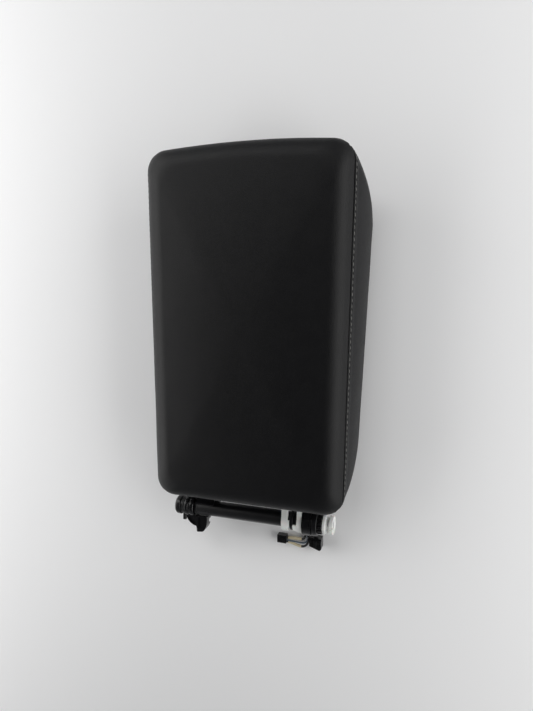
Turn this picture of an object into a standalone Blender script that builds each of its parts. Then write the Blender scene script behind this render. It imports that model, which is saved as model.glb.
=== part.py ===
"""Center console armrest: a padded, leather covered lid on a tube hinge with a torsion spring.

The lid lies closed. X runs across it, +Y points to its front edge and +Z out of its top.
All pieces are drawn in the pad's own frame, whose origin is the middle of the side seams,
and one empty sets that frame on the floor, centred under the whole armrest.
"""
from math import cos, pi, radians, sin, sqrt

import bmesh
import bpy
from mathutils import Vector

# Clearance between neighbouring pieces
GAP = 0.0003
PANEL_GAP = 0.00036

# Pad outline at the level of the side seams
PAD_LENGTH = 0.2848
SEAM_HALF_WIDTH = 0.0825
SIDE_TAPER = 0.0105
FRONT_BOW = 0.0041
SEAM_CORNER_RADIUS = 0.015
SKIRT_CORNER_RADIUS = 0.028

# Pad section above the seams
SHOULDER_RADIUS = 0.020
SHOULDER_LEAN = radians(27)
END_ROUNDING = 0.016
CROWN = 0.003

# Skirt below the seams
SKIRT_DEPTH = 0.036
SKIRT_DEPTH_SLOPE = 0.028
SIDE_FLARE = 0.0080
SIDE_FLARE_SLOPE = 0.022
FRONT_LEAN = 0.024
FRONT_SWEEP = 0.012
REAR_LEAN = 0.014
REAR_SWEEP = 0.024
HEM_WIDTH = 0.008

# Layers from the leather inwards
LEATHER = 0.0012
FOAM_SIDE = 0.0035
FOAM_TOP = 0.006
FOAM_END = 0.84
FOAM_GAP = 0.0006
CARRIER_WALL = 0.0025
CARRIER_FOOT = 0.88
RIB_THICKNESS = 0.0018
RIB_DEPTH = 0.016
RIB_CLEARANCE = 0.012
CROSS_RIBS = (-0.066, -0.022, 0.022, 0.066)
LONG_RIBS = (-0.034, 0.0, 0.034)
BOSS_RADIUS = 0.004
BOSS_DRAFT = 0.0006

# Lower cover, bumpers and catch plate
LINER_STAND = 0.010
LINER_WALL = 0.0022
LINER_INSET = 0.006
LINER_STEP = 0.009
LINER_DRAFT = 0.004
LINER_SCREW_SIDE_INSET = 0.0245
LINER_SCREW_FRONT_INSET = 0.0684
LINER_SCREW_REAR_INSET = 0.0724
BUMPER_SIDE_INSET = 0.0265
BUMPER_END_INSET = 0.0864
BUMPER_STANDOFF = 0.004
BUMPER_RADIUS = 0.007
BUMPER_EDGE = 0.001
BUMPER_STEM_RADIUS = 0.003
BUMPER_BARB_HEIGHT = 0.003
BUMPER_BARB_RADII = (0.0042, 0.0018)
CATCH_END_INSET = 0.0764
CATCH_WIDTH = 0.046
CATCH_LENGTH = 0.016
CATCH_THICKNESS = 0.0018
CATCH_SCREWS_X = 0.016
CATCH_SCREW_BITE = 0.0075

# Screws
SCREW_RADIUS = 0.0015
SCREW_HEAD_RADIUS = 0.0033
SCREW_HEAD_HEIGHT = 0.0018
SCREW_HEAD_FACE_RADIUS = 0.0023
SCREW_HEAD_EDGE = 0.0008
SCREW_BITE = 0.009
SCREW_WELL_CLEARANCE = 0.0008
COUNTERSINK_DEPTH = 0.0015
PILOT_SPARE = 0.002

# Hinge line
AXIS_SETBACK = 0.0197
AXIS_DEPTH = 0.024
SHAFT_RADIUS = 0.0035
TUBE_RADIUS = 0.0068
TUBE_WALL = 0.0012
TUBE_SOCKET_DEPTH = 0.003
TUBE_COLLAR_HEIGHTS = (0.0018, 0.0007)
TUBE_BUSH_LENGTH = 0.008
TUBE_BUSH_FLANGE = 0.0024
SPRING_ANCHOR_LENGTH = 0.006
EDGE = 0.0005
SPRING_WIRE_RADIUS = 0.0007
SPRING_TURNS = 12
SPRING_LENGTH = 0.050

# Hinge row along X: the tube's left end and the right knuckle's inner face, and the width of each piece
TUBE_LEFT = -0.0532
KNUCKLE_LEFT = 0.0445
KNUCKLE_WIDTH = 0.0077
END_BUSH_WIDTH = 0.0089
CLAW_WIDTH = 0.0089
LEFT_ARM_WIDTH = 0.0274
LEFT_ARM_INSET = 0.0011
RIGHT_ARM_WIDTH = 0.0145
CLIP_WIDTH = 0.0175
CLIP_CLEARANCE = 0.0005
CLIP_RING_WIDTHS = (0.0053, 0.0041)
BRAKE_WIDTH = 0.0045
TEETH_WIDTH = 0.0035
SPOOL_WIDTH = 0.0093
SHAFT_INSETS = (0.0010, 0.0008)

# Hinge arms
ARM_THICKNESS = 0.005
ARM_LENGTH = 0.082
ARM_SCREW_REACHES = (0.065, 0.076)
ARM_SHOULDER = 0.006
ARM_LAP = 0.002
NOTCH_CLEARANCE = 0.001
NOTCH_RISE = 0.0095
NOTCH_OVERRUN = 0.010
KNUCKLE_RADIUS = 0.0112
KNUCKLE_ARC = (50.0, 310.0)
KNUCKLE_BUSH_WALL = 0.0010
SADDLE_WALL = 0.0035
SADDLE_UPPER_LIP = 52.0
SADDLE_LOWER_LIP = -82.0
SADDLE_BLEND_ARC = (32.0, -40.0)

# Stop claw: offsets along X from its left face, and along Y from the hinge line or from its rear end
CLAW_HUB_RADIUS = 0.0090
CLAW_GROOVE_X = (0.0035, 0.0055)
CLAW_GROOVE_DEPTH = 0.0006
CLAW_HEIGHT = 0.009
CLAW_DROP = 0.001
CLAW_REACH = 0.0230
CLAW_ROOTS = (0.0063, 0.0054)
CLAW_BEND_RADIUS = 0.0112
CLAW_BEND_ARC = (187.0, 262.0)
CLAW_JAW = ((0.0103, 0.0040), (0.0106, 0.0), (0.0162, 0.0006), (0.0184, 0.0028), (0.0202, 0.0073),
            (0.0205, 0.0125))
CLAW_TUBE_CLEARANCE = 0.0012
CLAW_ROOT_OVERLAP = 0.0005
CLAW_SLOT_X = (0.0120, 0.0225)
CLAW_SLOT_REACHES = (0.0115, 0.0160)
CLAW_SLOT_ROOF = 0.001

# End bush, toothed collar and spool
FLANGE_RADIUS = 0.0085
FLANGE_WIDTH = 0.0050
FLANGE_EDGE = 0.0012
GROOVE_RADIUS = 0.0071
GROOVE_WIDTH = 0.0009
BUSH_STEP_RADIUS = 0.0078
PEG_REACHES = (0.0065, 0.0133)
PEG_RISES = (0.0032, 0.0002)
PEG_SIDE_INSETS = (0.0002, 0.0004)
TOOTH_COUNT = 14
TOOTH_ROOT_SHARE = 0.3
TOOTH_TIP_SHARES = (0.45, 0.85)
TOOTH_TIP_RADIUS = 0.0088
TOOTH_ROOT_RADIUS = 0.0073
SPOOL_RADIUS = 0.0080
SPOOL_NECK_RADIUS = 0.0062
SPOOL_DISC_WIDTHS = (0.0028, 0.0034)

# Cable clip round the tube
CLIP_WALL = 0.0026
CLIP_PLATE_THICKNESS = 0.0026
CLIP_PLATE_RISE = 0.0075
CLIP_LENGTH = 0.072
CLIP_SCREW_REACH = 0.065
CLIP_OUTER_ARC = (62.0, 196.0)
CLIP_INNER_ARC = (232.0, 38.0)
CLIP_FOOT_ARC = (206.0, 228.0)
CLIP_FOOT_RADIUS = 0.0134
CLIP_UPPER_BLEND = 0.005
CLIP_LOWER_BLEND = 0.003
CLIP_BRIDGE_REACH = 0.010
CLIP_BRIDGE_INSET = 0.001
CLIP_LUG_WIDTHS = (0.0015, 0.0035)
CLIP_LUG_ANGLES = ((72.0, 117.0), (95.0, 140.0))
CLIP_LUG_INSET = 0.0004
CLIP_LUG_LAP = 0.001

# Harness
LEAD_RADIUS = 0.0021
THIN_LEAD_RADIUS = 0.0013
SMALL_PLUG_SIZE = (0.0085, 0.0072, 0.0058)
LARGE_PLUG_HEIGHT = 0.0095
LARGE_PLUG_OUTLINE = ((-0.0054, 0.0052), (0.0054, 0.0049), (0.0056, -0.0040), (0.0042, -0.0055),
                      (-0.0054, -0.0021))
GROMMET_LENGTH = 0.009
GROMMET_INSET = 0.0005

# Overrun of cutting tools, so that no cut ends on a face
OVERRUN = 0.001

# Facets
ROUND_STEPS = 20
HOLE_STEPS = 12
CORNER_STEPS = (0.0, 22.0, 45.0, 68.0, 90.0)
SIDE_STEPS = 3
END_STEPS = 6

AXIS_Y = -PAD_LENGTH / 2 - AXIS_SETBACK
AXIS_Z = -AXIS_DEPTH
SHOULDER_HEIGHT = SHOULDER_RADIUS * (1 - sin(SHOULDER_LEAN))
SHOULDER_WIDTH = SHOULDER_RADIUS * cos(SHOULDER_LEAN)
REAR_REACH = AXIS_Y - CLAW_REACH
FRONT_REACH = PAD_LENGTH / 2 + FRONT_BOW
LINER_DEPTH = SKIRT_DEPTH + LINER_STAND
LINER_FLOOR_TOP = -LINER_DEPTH + LINER_WALL
LINER_SCREWS_X = SEAM_HALF_WIDTH - LINER_SCREW_SIDE_INSET
LINER_SCREWS_Y = (LINER_SCREW_REAR_INSET - PAD_LENGTH / 2, 0.0, PAD_LENGTH / 2 - LINER_SCREW_FRONT_INSET)
SEAM_HEIGHT = LINER_DEPTH + BUMPER_STANDOFF
BUMPER_X = SEAM_HALF_WIDTH - BUMPER_SIDE_INSET
BUMPER_Y = PAD_LENGTH / 2 - BUMPER_END_INSET
CATCH_Y = PAD_LENGTH / 2 - CATCH_END_INSET
ARM_TOP = AXIS_Z + ARM_THICKNESS / 2
ARM_BOTTOM = AXIS_Z - ARM_THICKNESS / 2
ARM_FRONT_Y = AXIS_Y + ARM_LENGTH
ARM_SCREWS_Y = tuple(AXIS_Y + reach for reach in ARM_SCREW_REACHES)
NOTCH_TOP = AXIS_Z + NOTCH_RISE
NOTCH_END_Y = -PAD_LENGTH / 2 + REAR_LEAN + REAR_SWEEP
CLIP_PLATE_TOP = AXIS_Z + CLIP_PLATE_RISE
CLIP_PLATE_BOTTOM = CLIP_PLATE_TOP - CLIP_PLATE_THICKNESS
CLIP_FRONT_Y = AXIS_Y + CLIP_LENGTH
CLIP_SCREW_Y = AXIS_Y + CLIP_SCREW_REACH
CLAW_RIGHT = TUBE_LEFT - GAP - TUBE_BUSH_FLANGE - GAP
CLAW_SPAN = (CLAW_RIGHT - CLAW_WIDTH, CLAW_RIGHT)
END_BUSH_SPAN = (CLAW_SPAN[0] - GAP - END_BUSH_WIDTH, CLAW_SPAN[0] - GAP)
LEFT_ARM_SPAN = (CLAW_SPAN[0] + LEFT_ARM_INSET, CLAW_SPAN[0] + LEFT_ARM_INSET + LEFT_ARM_WIDTH)
KNUCKLE_SPAN = (KNUCKLE_LEFT, KNUCKLE_LEFT + KNUCKLE_WIDTH)
RIGHT_ARM_SPAN = (KNUCKLE_LEFT, KNUCKLE_LEFT + RIGHT_ARM_WIDTH)
CLIP_SPAN = (KNUCKLE_LEFT - CLIP_CLEARANCE - CLIP_WIDTH, KNUCKLE_LEFT - CLIP_CLEARANCE)
BRAKE_SPAN = (KNUCKLE_SPAN[1] + GAP, KNUCKLE_SPAN[1] + GAP + BRAKE_WIDTH)
TEETH_SPAN = (BRAKE_SPAN[1] + GAP, BRAKE_SPAN[1] + GAP + TEETH_WIDTH)
SPOOL_SPAN = (TEETH_SPAN[1] + GAP, TEETH_SPAN[1] + GAP + SPOOL_WIDTH)
SHAFT_SPAN = (END_BUSH_SPAN[0] + SHAFT_INSETS[0], SPOOL_SPAN[1] - SHAFT_INSETS[1])
CLIP_MIDDLE = sum(CLIP_SPAN) / 2
RUNNING_BORE = SHAFT_RADIUS + GAP
SCREW_HOLE = SCREW_RADIUS + GAP

LEATHER_FINISH = ((0.018, 0.018, 0.019), 0.42, 0.0)
FOAM_FINISH = ((0.75, 0.72, 0.62), 0.9, 0.0)
BLACK_PLASTIC = ((0.012, 0.012, 0.013), 0.4, 0.0)
SOFT_BLACK = ((0.02, 0.02, 0.02), 0.7, 0.0)
BLACK_STEEL = ((0.02, 0.02, 0.022), 0.35, 0.6)
BRIGHT_STEEL = ((0.6, 0.6, 0.62), 0.3, 1.0)
WHITE_NYLON = ((0.85, 0.85, 0.82), 0.45, 0.0)
CREAM_SLEEVE = ((0.78, 0.73, 0.6), 0.55, 0.0)


def clear_scene():
    for old in list(bpy.data.objects):
        bpy.data.objects.remove(old, do_unlink=True)


def make_empty(name, place, parent=None):
    empty = bpy.data.objects.new(name, None)
    empty.location = place
    empty.parent = parent
    bpy.context.collection.objects.link(empty)
    return empty


def make_material(name, finish):
    colour, roughness, metallic = finish
    material = bpy.data.materials.new(name)
    material.use_nodes = True
    shader = material.node_tree.nodes["Principled BSDF"]
    shader.inputs["Base Color"].default_value = (*colour, 1.0)
    shader.inputs["Roughness"].default_value = roughness
    shader.inputs["Metallic"].default_value = metallic
    material.diffuse_color = (*colour, 1.0)
    return material


def add_object(name, mesh, pivot, finish=None):
    """Puts a mesh drawn in the pad's frame under the empty that its body turns with."""
    piece = bpy.data.objects.new(name, mesh)
    piece.parent = pivot
    piece.location = -pivot.location if pivot.parent else Vector((0.0, 0.0, 0.0))
    bpy.context.collection.objects.link(piece)
    if finish:
        mesh.materials.append(make_material(name, finish))
    return piece


def mesh_from(bm, name, smooth_angle=35.0):
    bmesh.ops.recalc_face_normals(bm, faces=bm.faces)
    mesh = bpy.data.meshes.new(name)
    bm.to_mesh(mesh)
    bm.free()
    mesh.shade_smooth()
    mesh.set_sharp_from_angle(angle=radians(smooth_angle))
    return mesh


def hide_tool(tool):
    tool.hide_render = True
    tool.display_type = "WIRE"
    return tool


def combine(piece, tools, operation):
    """Adds one exact Boolean for a list of tool objects, kept in a collection of their own."""
    group = bpy.data.collections.new(piece.name + "_" + operation.lower())
    bpy.context.scene.collection.children.link(group)
    for tool in tools:
        hide_tool(tool)
        bpy.context.collection.objects.unlink(tool)
        group.objects.link(tool)
    modifier = piece.modifiers.new(operation.title(), "BOOLEAN")
    modifier.operand_type = "COLLECTION"
    modifier.collection = group
    modifier.operation = operation
    modifier.solver = "EXACT"
    return piece


# Plain shapes


def arc(centre, radius, start, end, steps):
    """Points along a circular arc, in degrees."""
    angles = [radians(start + (end - start) * k / steps) for k in range(steps + 1)]
    return [(centre[0] + radius * cos(a), centre[1] + radius * sin(a)) for a in angles]


def prism_mesh(name, outline, across, low, high, bevel=0.0):
    """Extrudes a closed outline. across X: outline in Y and Z. across Z: outline in X and Y."""
    bm = bmesh.new()
    if across == "X":
        base = [bm.verts.new((low, a, b)) for a, b in outline]
        step = Vector((high - low, 0.0, 0.0))
    else:
        base = [bm.verts.new((a, b, low)) for a, b in outline]
        step = Vector((0.0, 0.0, high - low))
    face = bm.faces.new(base)
    grown = bmesh.ops.extrude_face_region(bm, geom=[face])["geom"]
    moved = [item for item in grown if isinstance(item, bmesh.types.BMVert)]
    bmesh.ops.translate(bm, vec=step, verts=moved)
    if bevel:
        bmesh.ops.bevel(bm, geom=bm.edges[:], offset=bevel, segments=1, affect="EDGES")
    return mesh_from(bm, name)


def box_mesh(name, low, high, bevel=0.0):
    outline = [(low[0], low[1]), (high[0], low[1]), (high[0], high[1]), (low[0], high[1])]
    return prism_mesh(name, outline, "Z", low[2], high[2], bevel)


def turned_mesh(name, profile, centre, axis="X", steps=ROUND_STEPS):
    """Spins a closed profile of (along, radius) points about a line along X or Z."""
    bm = bmesh.new()
    if axis == "X":
        verts = [bm.verts.new((x, centre[0] + r, centre[1])) for x, r in profile]
        turn, middle = Vector((1.0, 0.0, 0.0)), Vector((0.0, centre[0], centre[1]))
    else:
        verts = [bm.verts.new((centre[0] + r, centre[1], z)) for z, r in profile]
        turn, middle = Vector((0.0, 0.0, 1.0)), Vector((centre[0], centre[1], 0.0))
    edges = [bm.edges.new((verts[k - 1], verts[k])) for k in range(len(verts))]
    bmesh.ops.spin(bm, geom=verts + edges, cent=middle, axis=turn, angle=2 * pi, steps=steps,
                   use_merge=True, use_duplicate=False)
    bmesh.ops.remove_doubles(bm, verts=bm.verts, dist=0.000001)
    bmesh.ops.dissolve_degenerate(bm, edges=bm.edges, dist=0.000001)
    return mesh_from(bm, name)


def ring_profile(span, radius, bore, chamfer=EDGE):
    """Profile of a plain ring with broken outer edges."""
    low, high = span
    return [(low, bore), (low, radius - chamfer), (low + chamfer, radius),
            (high - chamfer, radius), (high, radius - chamfer), (high, bore)]


def hinge_turned(name, profile, pivot, finish, steps=ROUND_STEPS):
    mesh = turned_mesh(name, profile, (AXIS_Y, AXIS_Z), "X", steps)
    return add_object(name, mesh, pivot, finish)


def hinge_arc(radius, start, end, steps):
    """Arc about the hinge line in the YZ plane, 0 degrees to the front and 90 upwards."""
    return arc((AXIS_Y, AXIS_Z), radius, start, end, steps)


# The pad's form: a stack of plan outlines that every layer follows


def seam_half(y):
    return SEAM_HALF_WIDTH + SIDE_TAPER * y


def side_flare(y):
    return SIDE_FLARE + SIDE_FLARE_SLOPE * y


def skirt_depth(y):
    return SKIRT_DEPTH + SKIRT_DEPTH_SLOPE * y


def corner_angles():
    """Angles round a plan corner from its side, with a narrow gap where the panels meet."""
    split = degrees_of_gap()
    angles = []
    for angle in CORNER_STEPS:
        angles += [angle - split, angle + split] if angle == 45.0 else [angle]
    return angles


def degrees_of_gap():
    return PANEL_GAP / SEAM_CORNER_RADIUS / 2 * 180 / pi


def plan_outline(front, rear, half_width, radius, bow):
    """Anticlockwise outline as (x, y, zone), from the rear of the right side."""
    front_centre, rear_centre = front - radius, rear + radius

    def corner(side, end, reverse):
        centre_y = front_centre if end > 0 else rear_centre
        centre_x = half_width(centre_y) - radius
        points = []
        for angle in corner_angles():
            turn = radians(angle)
            zone = "side" if angle < 45.0 else "end"
            points.append((side * (centre_x + radius * cos(turn)),
                           centre_y + end * radius * sin(turn), zone))
        return points[::-1] if reverse else points

    def side_points(side, start, end):
        ys = [start + (end - start) * k / SIDE_STEPS for k in range(1, SIDE_STEPS)]
        return [(side * half_width(y), y, "side") for y in ys]

    def end_points(first, last):
        xs = [first[0] + (last[0] - first[0]) * k / END_STEPS for k in range(1, END_STEPS)]
        return [(x, first[1], "end") for x in xs]

    front_right, front_left = corner(1, 1, False), corner(-1, 1, True)
    rear_left, rear_right = corner(-1, -1, False), corner(1, -1, True)
    loop = side_points(1, rear_centre, front_centre) + front_right
    loop += end_points(front_right[-1], front_left[0]) + front_left
    loop += side_points(-1, front_centre, rear_centre) + rear_left
    loop += end_points(rear_left[-1], rear_right[0]) + rear_right
    bowed = []
    for x, y, zone in loop:
        if y > front_centre:
            y += bow * (1 - (x / half_width(front_centre)) ** 2)
        bowed.append((x, y, zone))
    return bowed


def skirt_ring(level, inset, lift=0.0, drop=0.0, extra=0.0):
    """Ring below the seams. level runs from 0 at the seam to 1 at the lower edge."""
    sweep = 1 - sqrt(1 - (0.96 * level) ** 3)
    front = PAD_LENGTH / 2 - FRONT_LEAN * level - FRONT_SWEEP * sweep - inset - extra
    rear = -PAD_LENGTH / 2 + REAR_LEAN * level + REAR_SWEEP * sweep + inset + extra
    flare = 1 - (1 - level) ** 2
    radius = SEAM_CORNER_RADIUS + (SKIRT_CORNER_RADIUS - SEAM_CORNER_RADIUS) * level
    radius = max(radius - 0.8 * (inset + extra), 0.004)

    def half(y):
        return seam_half(y) + side_flare(y) * flare - inset - extra

    outline = plan_outline(front, rear, half, radius, FRONT_BOW * (1 - 0.4 * level))
    return [(Vector((x, y, -GAP - level * (skirt_depth(y) - lift) - drop)), zone)
            for x, y, zone in outline]


def shoulder_ring(turn, inset, top_drop):
    """Ring above the seams. turn runs from 0 at the seam to 1 where the top starts."""
    angle = SHOULDER_LEAN + (pi / 2 - SHOULDER_LEAN) * turn
    ratio = (sin(angle) - sin(SHOULDER_LEAN)) / (1 - sin(SHOULDER_LEAN))
    side_in = SHOULDER_RADIUS * (cos(SHOULDER_LEAN) - cos(angle))
    side_in = inset + side_in * (1 - inset / SHOULDER_WIDTH)
    end_in = inset + (END_ROUNDING - inset) * (1 - sqrt(1 - ratio ** 2))
    radius = max(SEAM_CORNER_RADIUS - 0.8 * inset, 0.004)

    def half(y):
        return seam_half(y) - side_in

    outline = plan_outline(PAD_LENGTH / 2 - end_in, -PAD_LENGTH / 2 + end_in, half, radius, FRONT_BOW)
    height = (SHOULDER_HEIGHT - top_drop) * ratio
    return [(Vector((x, y, height)), zone) for x, y, zone in outline]


def crown_ring(scale, inset, top_drop):
    """Ring on the crowned top, shrunk towards the middle."""
    rise = SHOULDER_HEIGHT - top_drop + CROWN * (1 - scale ** 2)
    return [(Vector((p.x * scale, p.y * scale, rise)), zone)
            for p, zone in shoulder_ring(1.0, inset, top_drop)]


SKIRT_LEVELS = (1.0, 0.86, 0.66, 0.44, 0.22, 0.0)
WALL_LEVELS = (FOAM_END, 0.6, 0.3)
SHOULDER_TURNS = (0.0, 0.22, 0.46, 0.72, 1.0)
CROWN_SCALES = (0.72, 0.4)


def top_rings(inset, top_drop):
    rings = [shoulder_ring(turn, inset, top_drop) for turn in SHOULDER_TURNS]
    return rings + [crown_ring(scale, inset, top_drop) for scale in CROWN_SCALES]


def layer_mesh(name, outer, inner, keep, cap):
    """Closed solid between two matching stacks of rings, for the cells that keep() picks."""
    bm = bmesh.new()
    count = len(outer[0])
    made = {}

    def vert(skin, level, index):
        key = (skin, level, index % count)
        if key not in made:
            rings = outer if skin == "outer" else inner
            made[key] = bm.verts.new(rings[level][index % count][0])
        return made[key]

    sides = {}
    for level in range(len(outer) - 1):
        for index in range(count):
            zones = (outer[level][index][1], outer[level][(index + 1) % count][1])
            middle = outer[level][index][0].x + outer[level][(index + 1) % count][0].x
            if not keep(level, zones, middle):
                continue
            corners = [(level, index), (level, index + 1), (level + 1, index + 1), (level + 1, index)]
            bm.faces.new([vert("outer", *corner) for corner in corners])
            bm.faces.new([vert("inner", *corner) for corner in reversed(corners)])
            for k in range(4):
                start, end = corners[k], corners[(k + 1) % 4]
                start, end = (start[0], start[1] % count), (end[0], end[1] % count)
                if (end, start) in sides:
                    del sides[(end, start)]
                else:
                    sides[(start, end)] = True
    top = len(outer) - 1
    if cap:
        bm.faces.new([vert("outer", top, index) for index in range(count)])
        bm.faces.new([vert("inner", top, index) for index in reversed(range(count))])
        for index in range(count):
            sides.pop(((top, (index + 1) % count), (top, index)), None)
    for start, end in sides:
        bm.faces.new([vert("outer", *end), vert("outer", *start),
                      vert("inner", *start), vert("inner", *end)])
    return mesh_from(bm, name, 50.0)


# Lid pieces


def build_cover(pivot, notches):
    """Three leather panels: a top strip that wraps over both ends, and two side panels."""
    outer = [skirt_ring(1.0, 0.0, 0.0, 0.0, HEM_WIDTH)]
    inner = [skirt_ring(1.0, 0.0, LEATHER, 0.0, HEM_WIDTH)]
    outer += [skirt_ring(level, 0.0) for level in SKIRT_LEVELS]
    inner += [skirt_ring(level, LEATHER, LEATHER) for level in SKIRT_LEVELS]
    outer += top_rings(0.0, 0.0)
    inner += top_rings(LEATHER, LEATHER)
    seam_level = len(SKIRT_LEVELS)

    def in_strip(level, zones, middle):
        return level > seam_level or zones == ("end", "end")

    def in_right_panel(level, zones, middle):
        return level < seam_level and zones == ("side", "side") and middle > 0

    def in_left_panel(level, zones, middle):
        return level < seam_level and zones == ("side", "side") and middle < 0

    strip = layer_mesh("cover_top_panel", outer, inner, in_strip, True)
    strip = add_object("cover_top_panel", strip, pivot, LEATHER_FINISH)
    combine(strip, notches("strip_notch"), "DIFFERENCE")
    for side, keep in (("right", in_right_panel), ("left", in_left_panel)):
        name = "cover_side_panel_" + side
        add_object(name, layer_mesh(name, outer, inner, keep, False), pivot, LEATHER_FINISH)


def build_foam(pivot, notches):
    """Moulded pad between the leather and the carrier."""
    outside = LEATHER + GAP
    outer = [skirt_ring(level, outside, outside) for level in WALL_LEVELS]
    inner = [skirt_ring(level, outside + FOAM_SIDE, outside) for level in WALL_LEVELS]
    outer += top_rings(outside, outside)
    inner += top_rings(outside + FOAM_SIDE, outside + FOAM_TOP)
    mesh = layer_mesh("foam_pad", outer, inner, lambda *cell: True, True)
    foam = add_object("foam_pad", mesh, pivot, FOAM_FINISH)
    combine(foam, notches("foam_notch"), "DIFFERENCE")


def build_carrier(pivot, notches):
    """Moulded carrier: a ribbed dish with screw bosses and a foot that the leather wraps."""
    foot = LEATHER + GAP
    wall = foot + FOAM_SIDE + FOAM_GAP
    top = foot + FOAM_TOP + FOAM_GAP
    outer = [skirt_ring(1.0, foot, foot), skirt_ring(CARRIER_FOOT, foot, foot),
             skirt_ring(CARRIER_FOOT, wall, foot)]
    inner = [skirt_ring(1.0, wall + CARRIER_WALL, foot),
             skirt_ring((1.0 + CARRIER_FOOT) / 2, wall + CARRIER_WALL, foot),
             skirt_ring(CARRIER_FOOT, wall + CARRIER_WALL, foot)]
    for level in WALL_LEVELS:
        outer.append(skirt_ring(level, wall, foot))
        inner.append(skirt_ring(level, wall + CARRIER_WALL, foot))
    outer += top_rings(wall, top)
    inner += top_rings(wall + CARRIER_WALL, top + CARRIER_WALL)
    mesh = layer_mesh("carrier", outer, inner, lambda *cell: True, True)
    carrier = add_object("carrier", mesh, pivot, BLACK_PLASTIC)

    ceiling = SHOULDER_HEIGHT - top - CARRIER_WALL / 2
    rib_bottom = ceiling - RIB_DEPTH
    half_rib = RIB_THICKNESS / 2
    reach = SEAM_HALF_WIDTH - wall - 2 * CARRIER_WALL
    front_reach = PAD_LENGTH / 2 - FRONT_LEAN / 2 - wall
    tools = []
    for number, y in enumerate(CROSS_RIBS):
        low, high = (-reach, y - half_rib, rib_bottom), (reach, y + half_rib, ceiling)
        tools.append(("cross_rib_%d" % number, box_mesh("cross_rib", low, high)))
    for number, x in enumerate(LONG_RIBS):
        low = (x - half_rib, NOTCH_END_Y + RIB_CLEARANCE, rib_bottom - GAP)
        high = (x + half_rib, front_reach - RIB_CLEARANCE, ceiling)
        tools.append(("long_rib_%d" % number, box_mesh("long_rib", low, high)))
    for number, (x, y, bottom) in enumerate(boss_places()):
        outline = [(bottom, 0.0), (bottom, BOSS_RADIUS), (ceiling, BOSS_RADIUS + BOSS_DRAFT), (ceiling, 0.0)]
        tools.append(("boss_%d" % number, turned_mesh("boss", outline, (x, y), "Z", HOLE_STEPS)))
    combine(carrier, [add_object(name, mesh, pivot) for name, mesh in tools], "UNION")

    holes = []
    for number, (x, y, bottom) in enumerate(boss_places()):
        low, high = bottom - OVERRUN, bottom + SCREW_BITE + PILOT_SPARE
        outline = [(low, 0.0), (low, SCREW_HOLE), (high, SCREW_HOLE), (high, 0.0)]
        mesh = turned_mesh("pilot", outline, (x, y), "Z", 10)
        holes.append(add_object("pilot_%d" % number, mesh, pivot))
    combine(carrier, holes + notches("carrier_notch"), "DIFFERENCE")


def arm_middles():
    return [(LEFT_ARM_SPAN[0] + LEFT_ARM_SPAN[1]) / 2, (RIGHT_ARM_SPAN[0] + RIGHT_ARM_SPAN[1]) / 2]


def boss_places():
    """Every boss in the carrier as (x, y, height of its lower end)."""
    places = [(side * LINER_SCREWS_X, y, LINER_FLOOR_TOP + GAP)
              for side in (-1, 1) for y in LINER_SCREWS_Y]
    places += [(x, y, ARM_TOP + GAP) for x in arm_middles() for y in ARM_SCREWS_Y]
    places.append((CLIP_MIDDLE, CLIP_SCREW_Y, CLIP_PLATE_TOP + GAP))
    return places


def build_liner(pivot):
    """Lower cover that closes the underside, with wells for its screws and bumpers."""
    outer = [skirt_ring(1.0, 0.0, 0.0, GAP, LINER_INSET),
             skirt_ring(1.0, 0.0, 0.0, GAP + LINER_WALL, LINER_INSET),
             skirt_ring(1.0, 0.0, 0.0, GAP + LINER_WALL, LINER_INSET + LINER_STEP),
             flat_ring(LINER_INSET + LINER_STEP + LINER_DRAFT, -LINER_DEPTH)]
    inner = [skirt_ring(1.0, 0.0, 0.0, GAP, LINER_INSET),
             skirt_ring(1.0, 0.0, 0.0, GAP, LINER_INSET + LINER_STEP / 2),
             skirt_ring(1.0, 0.0, 0.0, GAP, LINER_INSET + LINER_STEP + LINER_WALL),
             flat_ring(LINER_INSET + LINER_STEP + LINER_DRAFT + LINER_WALL, LINER_FLOOR_TOP)]
    bm = bmesh.new()
    skins = []
    for rings in (outer, inner):
        skins.append([[bm.verts.new(point) for point, zone in ring] for ring in rings])
    count = len(outer[0])
    for skin in skins:
        for level in range(len(skin) - 1):
            for index in range(count):
                after = (index + 1) % count
                bm.faces.new([skin[level][index], skin[level][after],
                              skin[level + 1][after], skin[level + 1][index]])
        bm.faces.new(skin[-1])
    bmesh.ops.remove_doubles(bm, verts=bm.verts, dist=0.000001)
    liner = add_object("lower_cover", mesh_from(bm, "lower_cover"), pivot, SOFT_BLACK)

    cuts = []
    low, high = -LINER_DEPTH - OVERRUN, LINER_FLOOR_TOP + OVERRUN
    well, recess = SCREW_HEAD_RADIUS + SCREW_WELL_CLEARANCE, LINER_WALL / 2 - LINER_DEPTH
    for number, (x, y) in enumerate(liner_screw_places()):
        outline = [(low, 0.0), (low, well), (recess, well), (recess, SCREW_HOLE),
                   (high, SCREW_HOLE), (high, 0.0)]
        mesh = turned_mesh("well", outline, (x, y), "Z", HOLE_STEPS)
        cuts.append(add_object("well_%d" % number, mesh, pivot))
    holes = [(place, BUMPER_STEM_RADIUS) for place in bumper_places()]
    holes += [(place, SCREW_RADIUS) for place in catch_screw_places()]
    for number, ((x, y), radius) in enumerate(holes):
        outline = [(low, 0.0), (low, radius + GAP), (high, radius + GAP), (high, 0.0)]
        mesh = turned_mesh("hole", outline, (x, y), "Z", HOLE_STEPS)
        cuts.append(add_object("hole_%d" % number, mesh, pivot))
    combine(liner, cuts, "DIFFERENCE")


def flat_ring(inset, height):
    """Ring of the liner's floor: the skirt's lower outline, inset and laid level."""
    return [(Vector((p.x, p.y, height)), zone) for p, zone in skirt_ring(1.0, 0.0, 0.0, 0.0, inset)]


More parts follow.
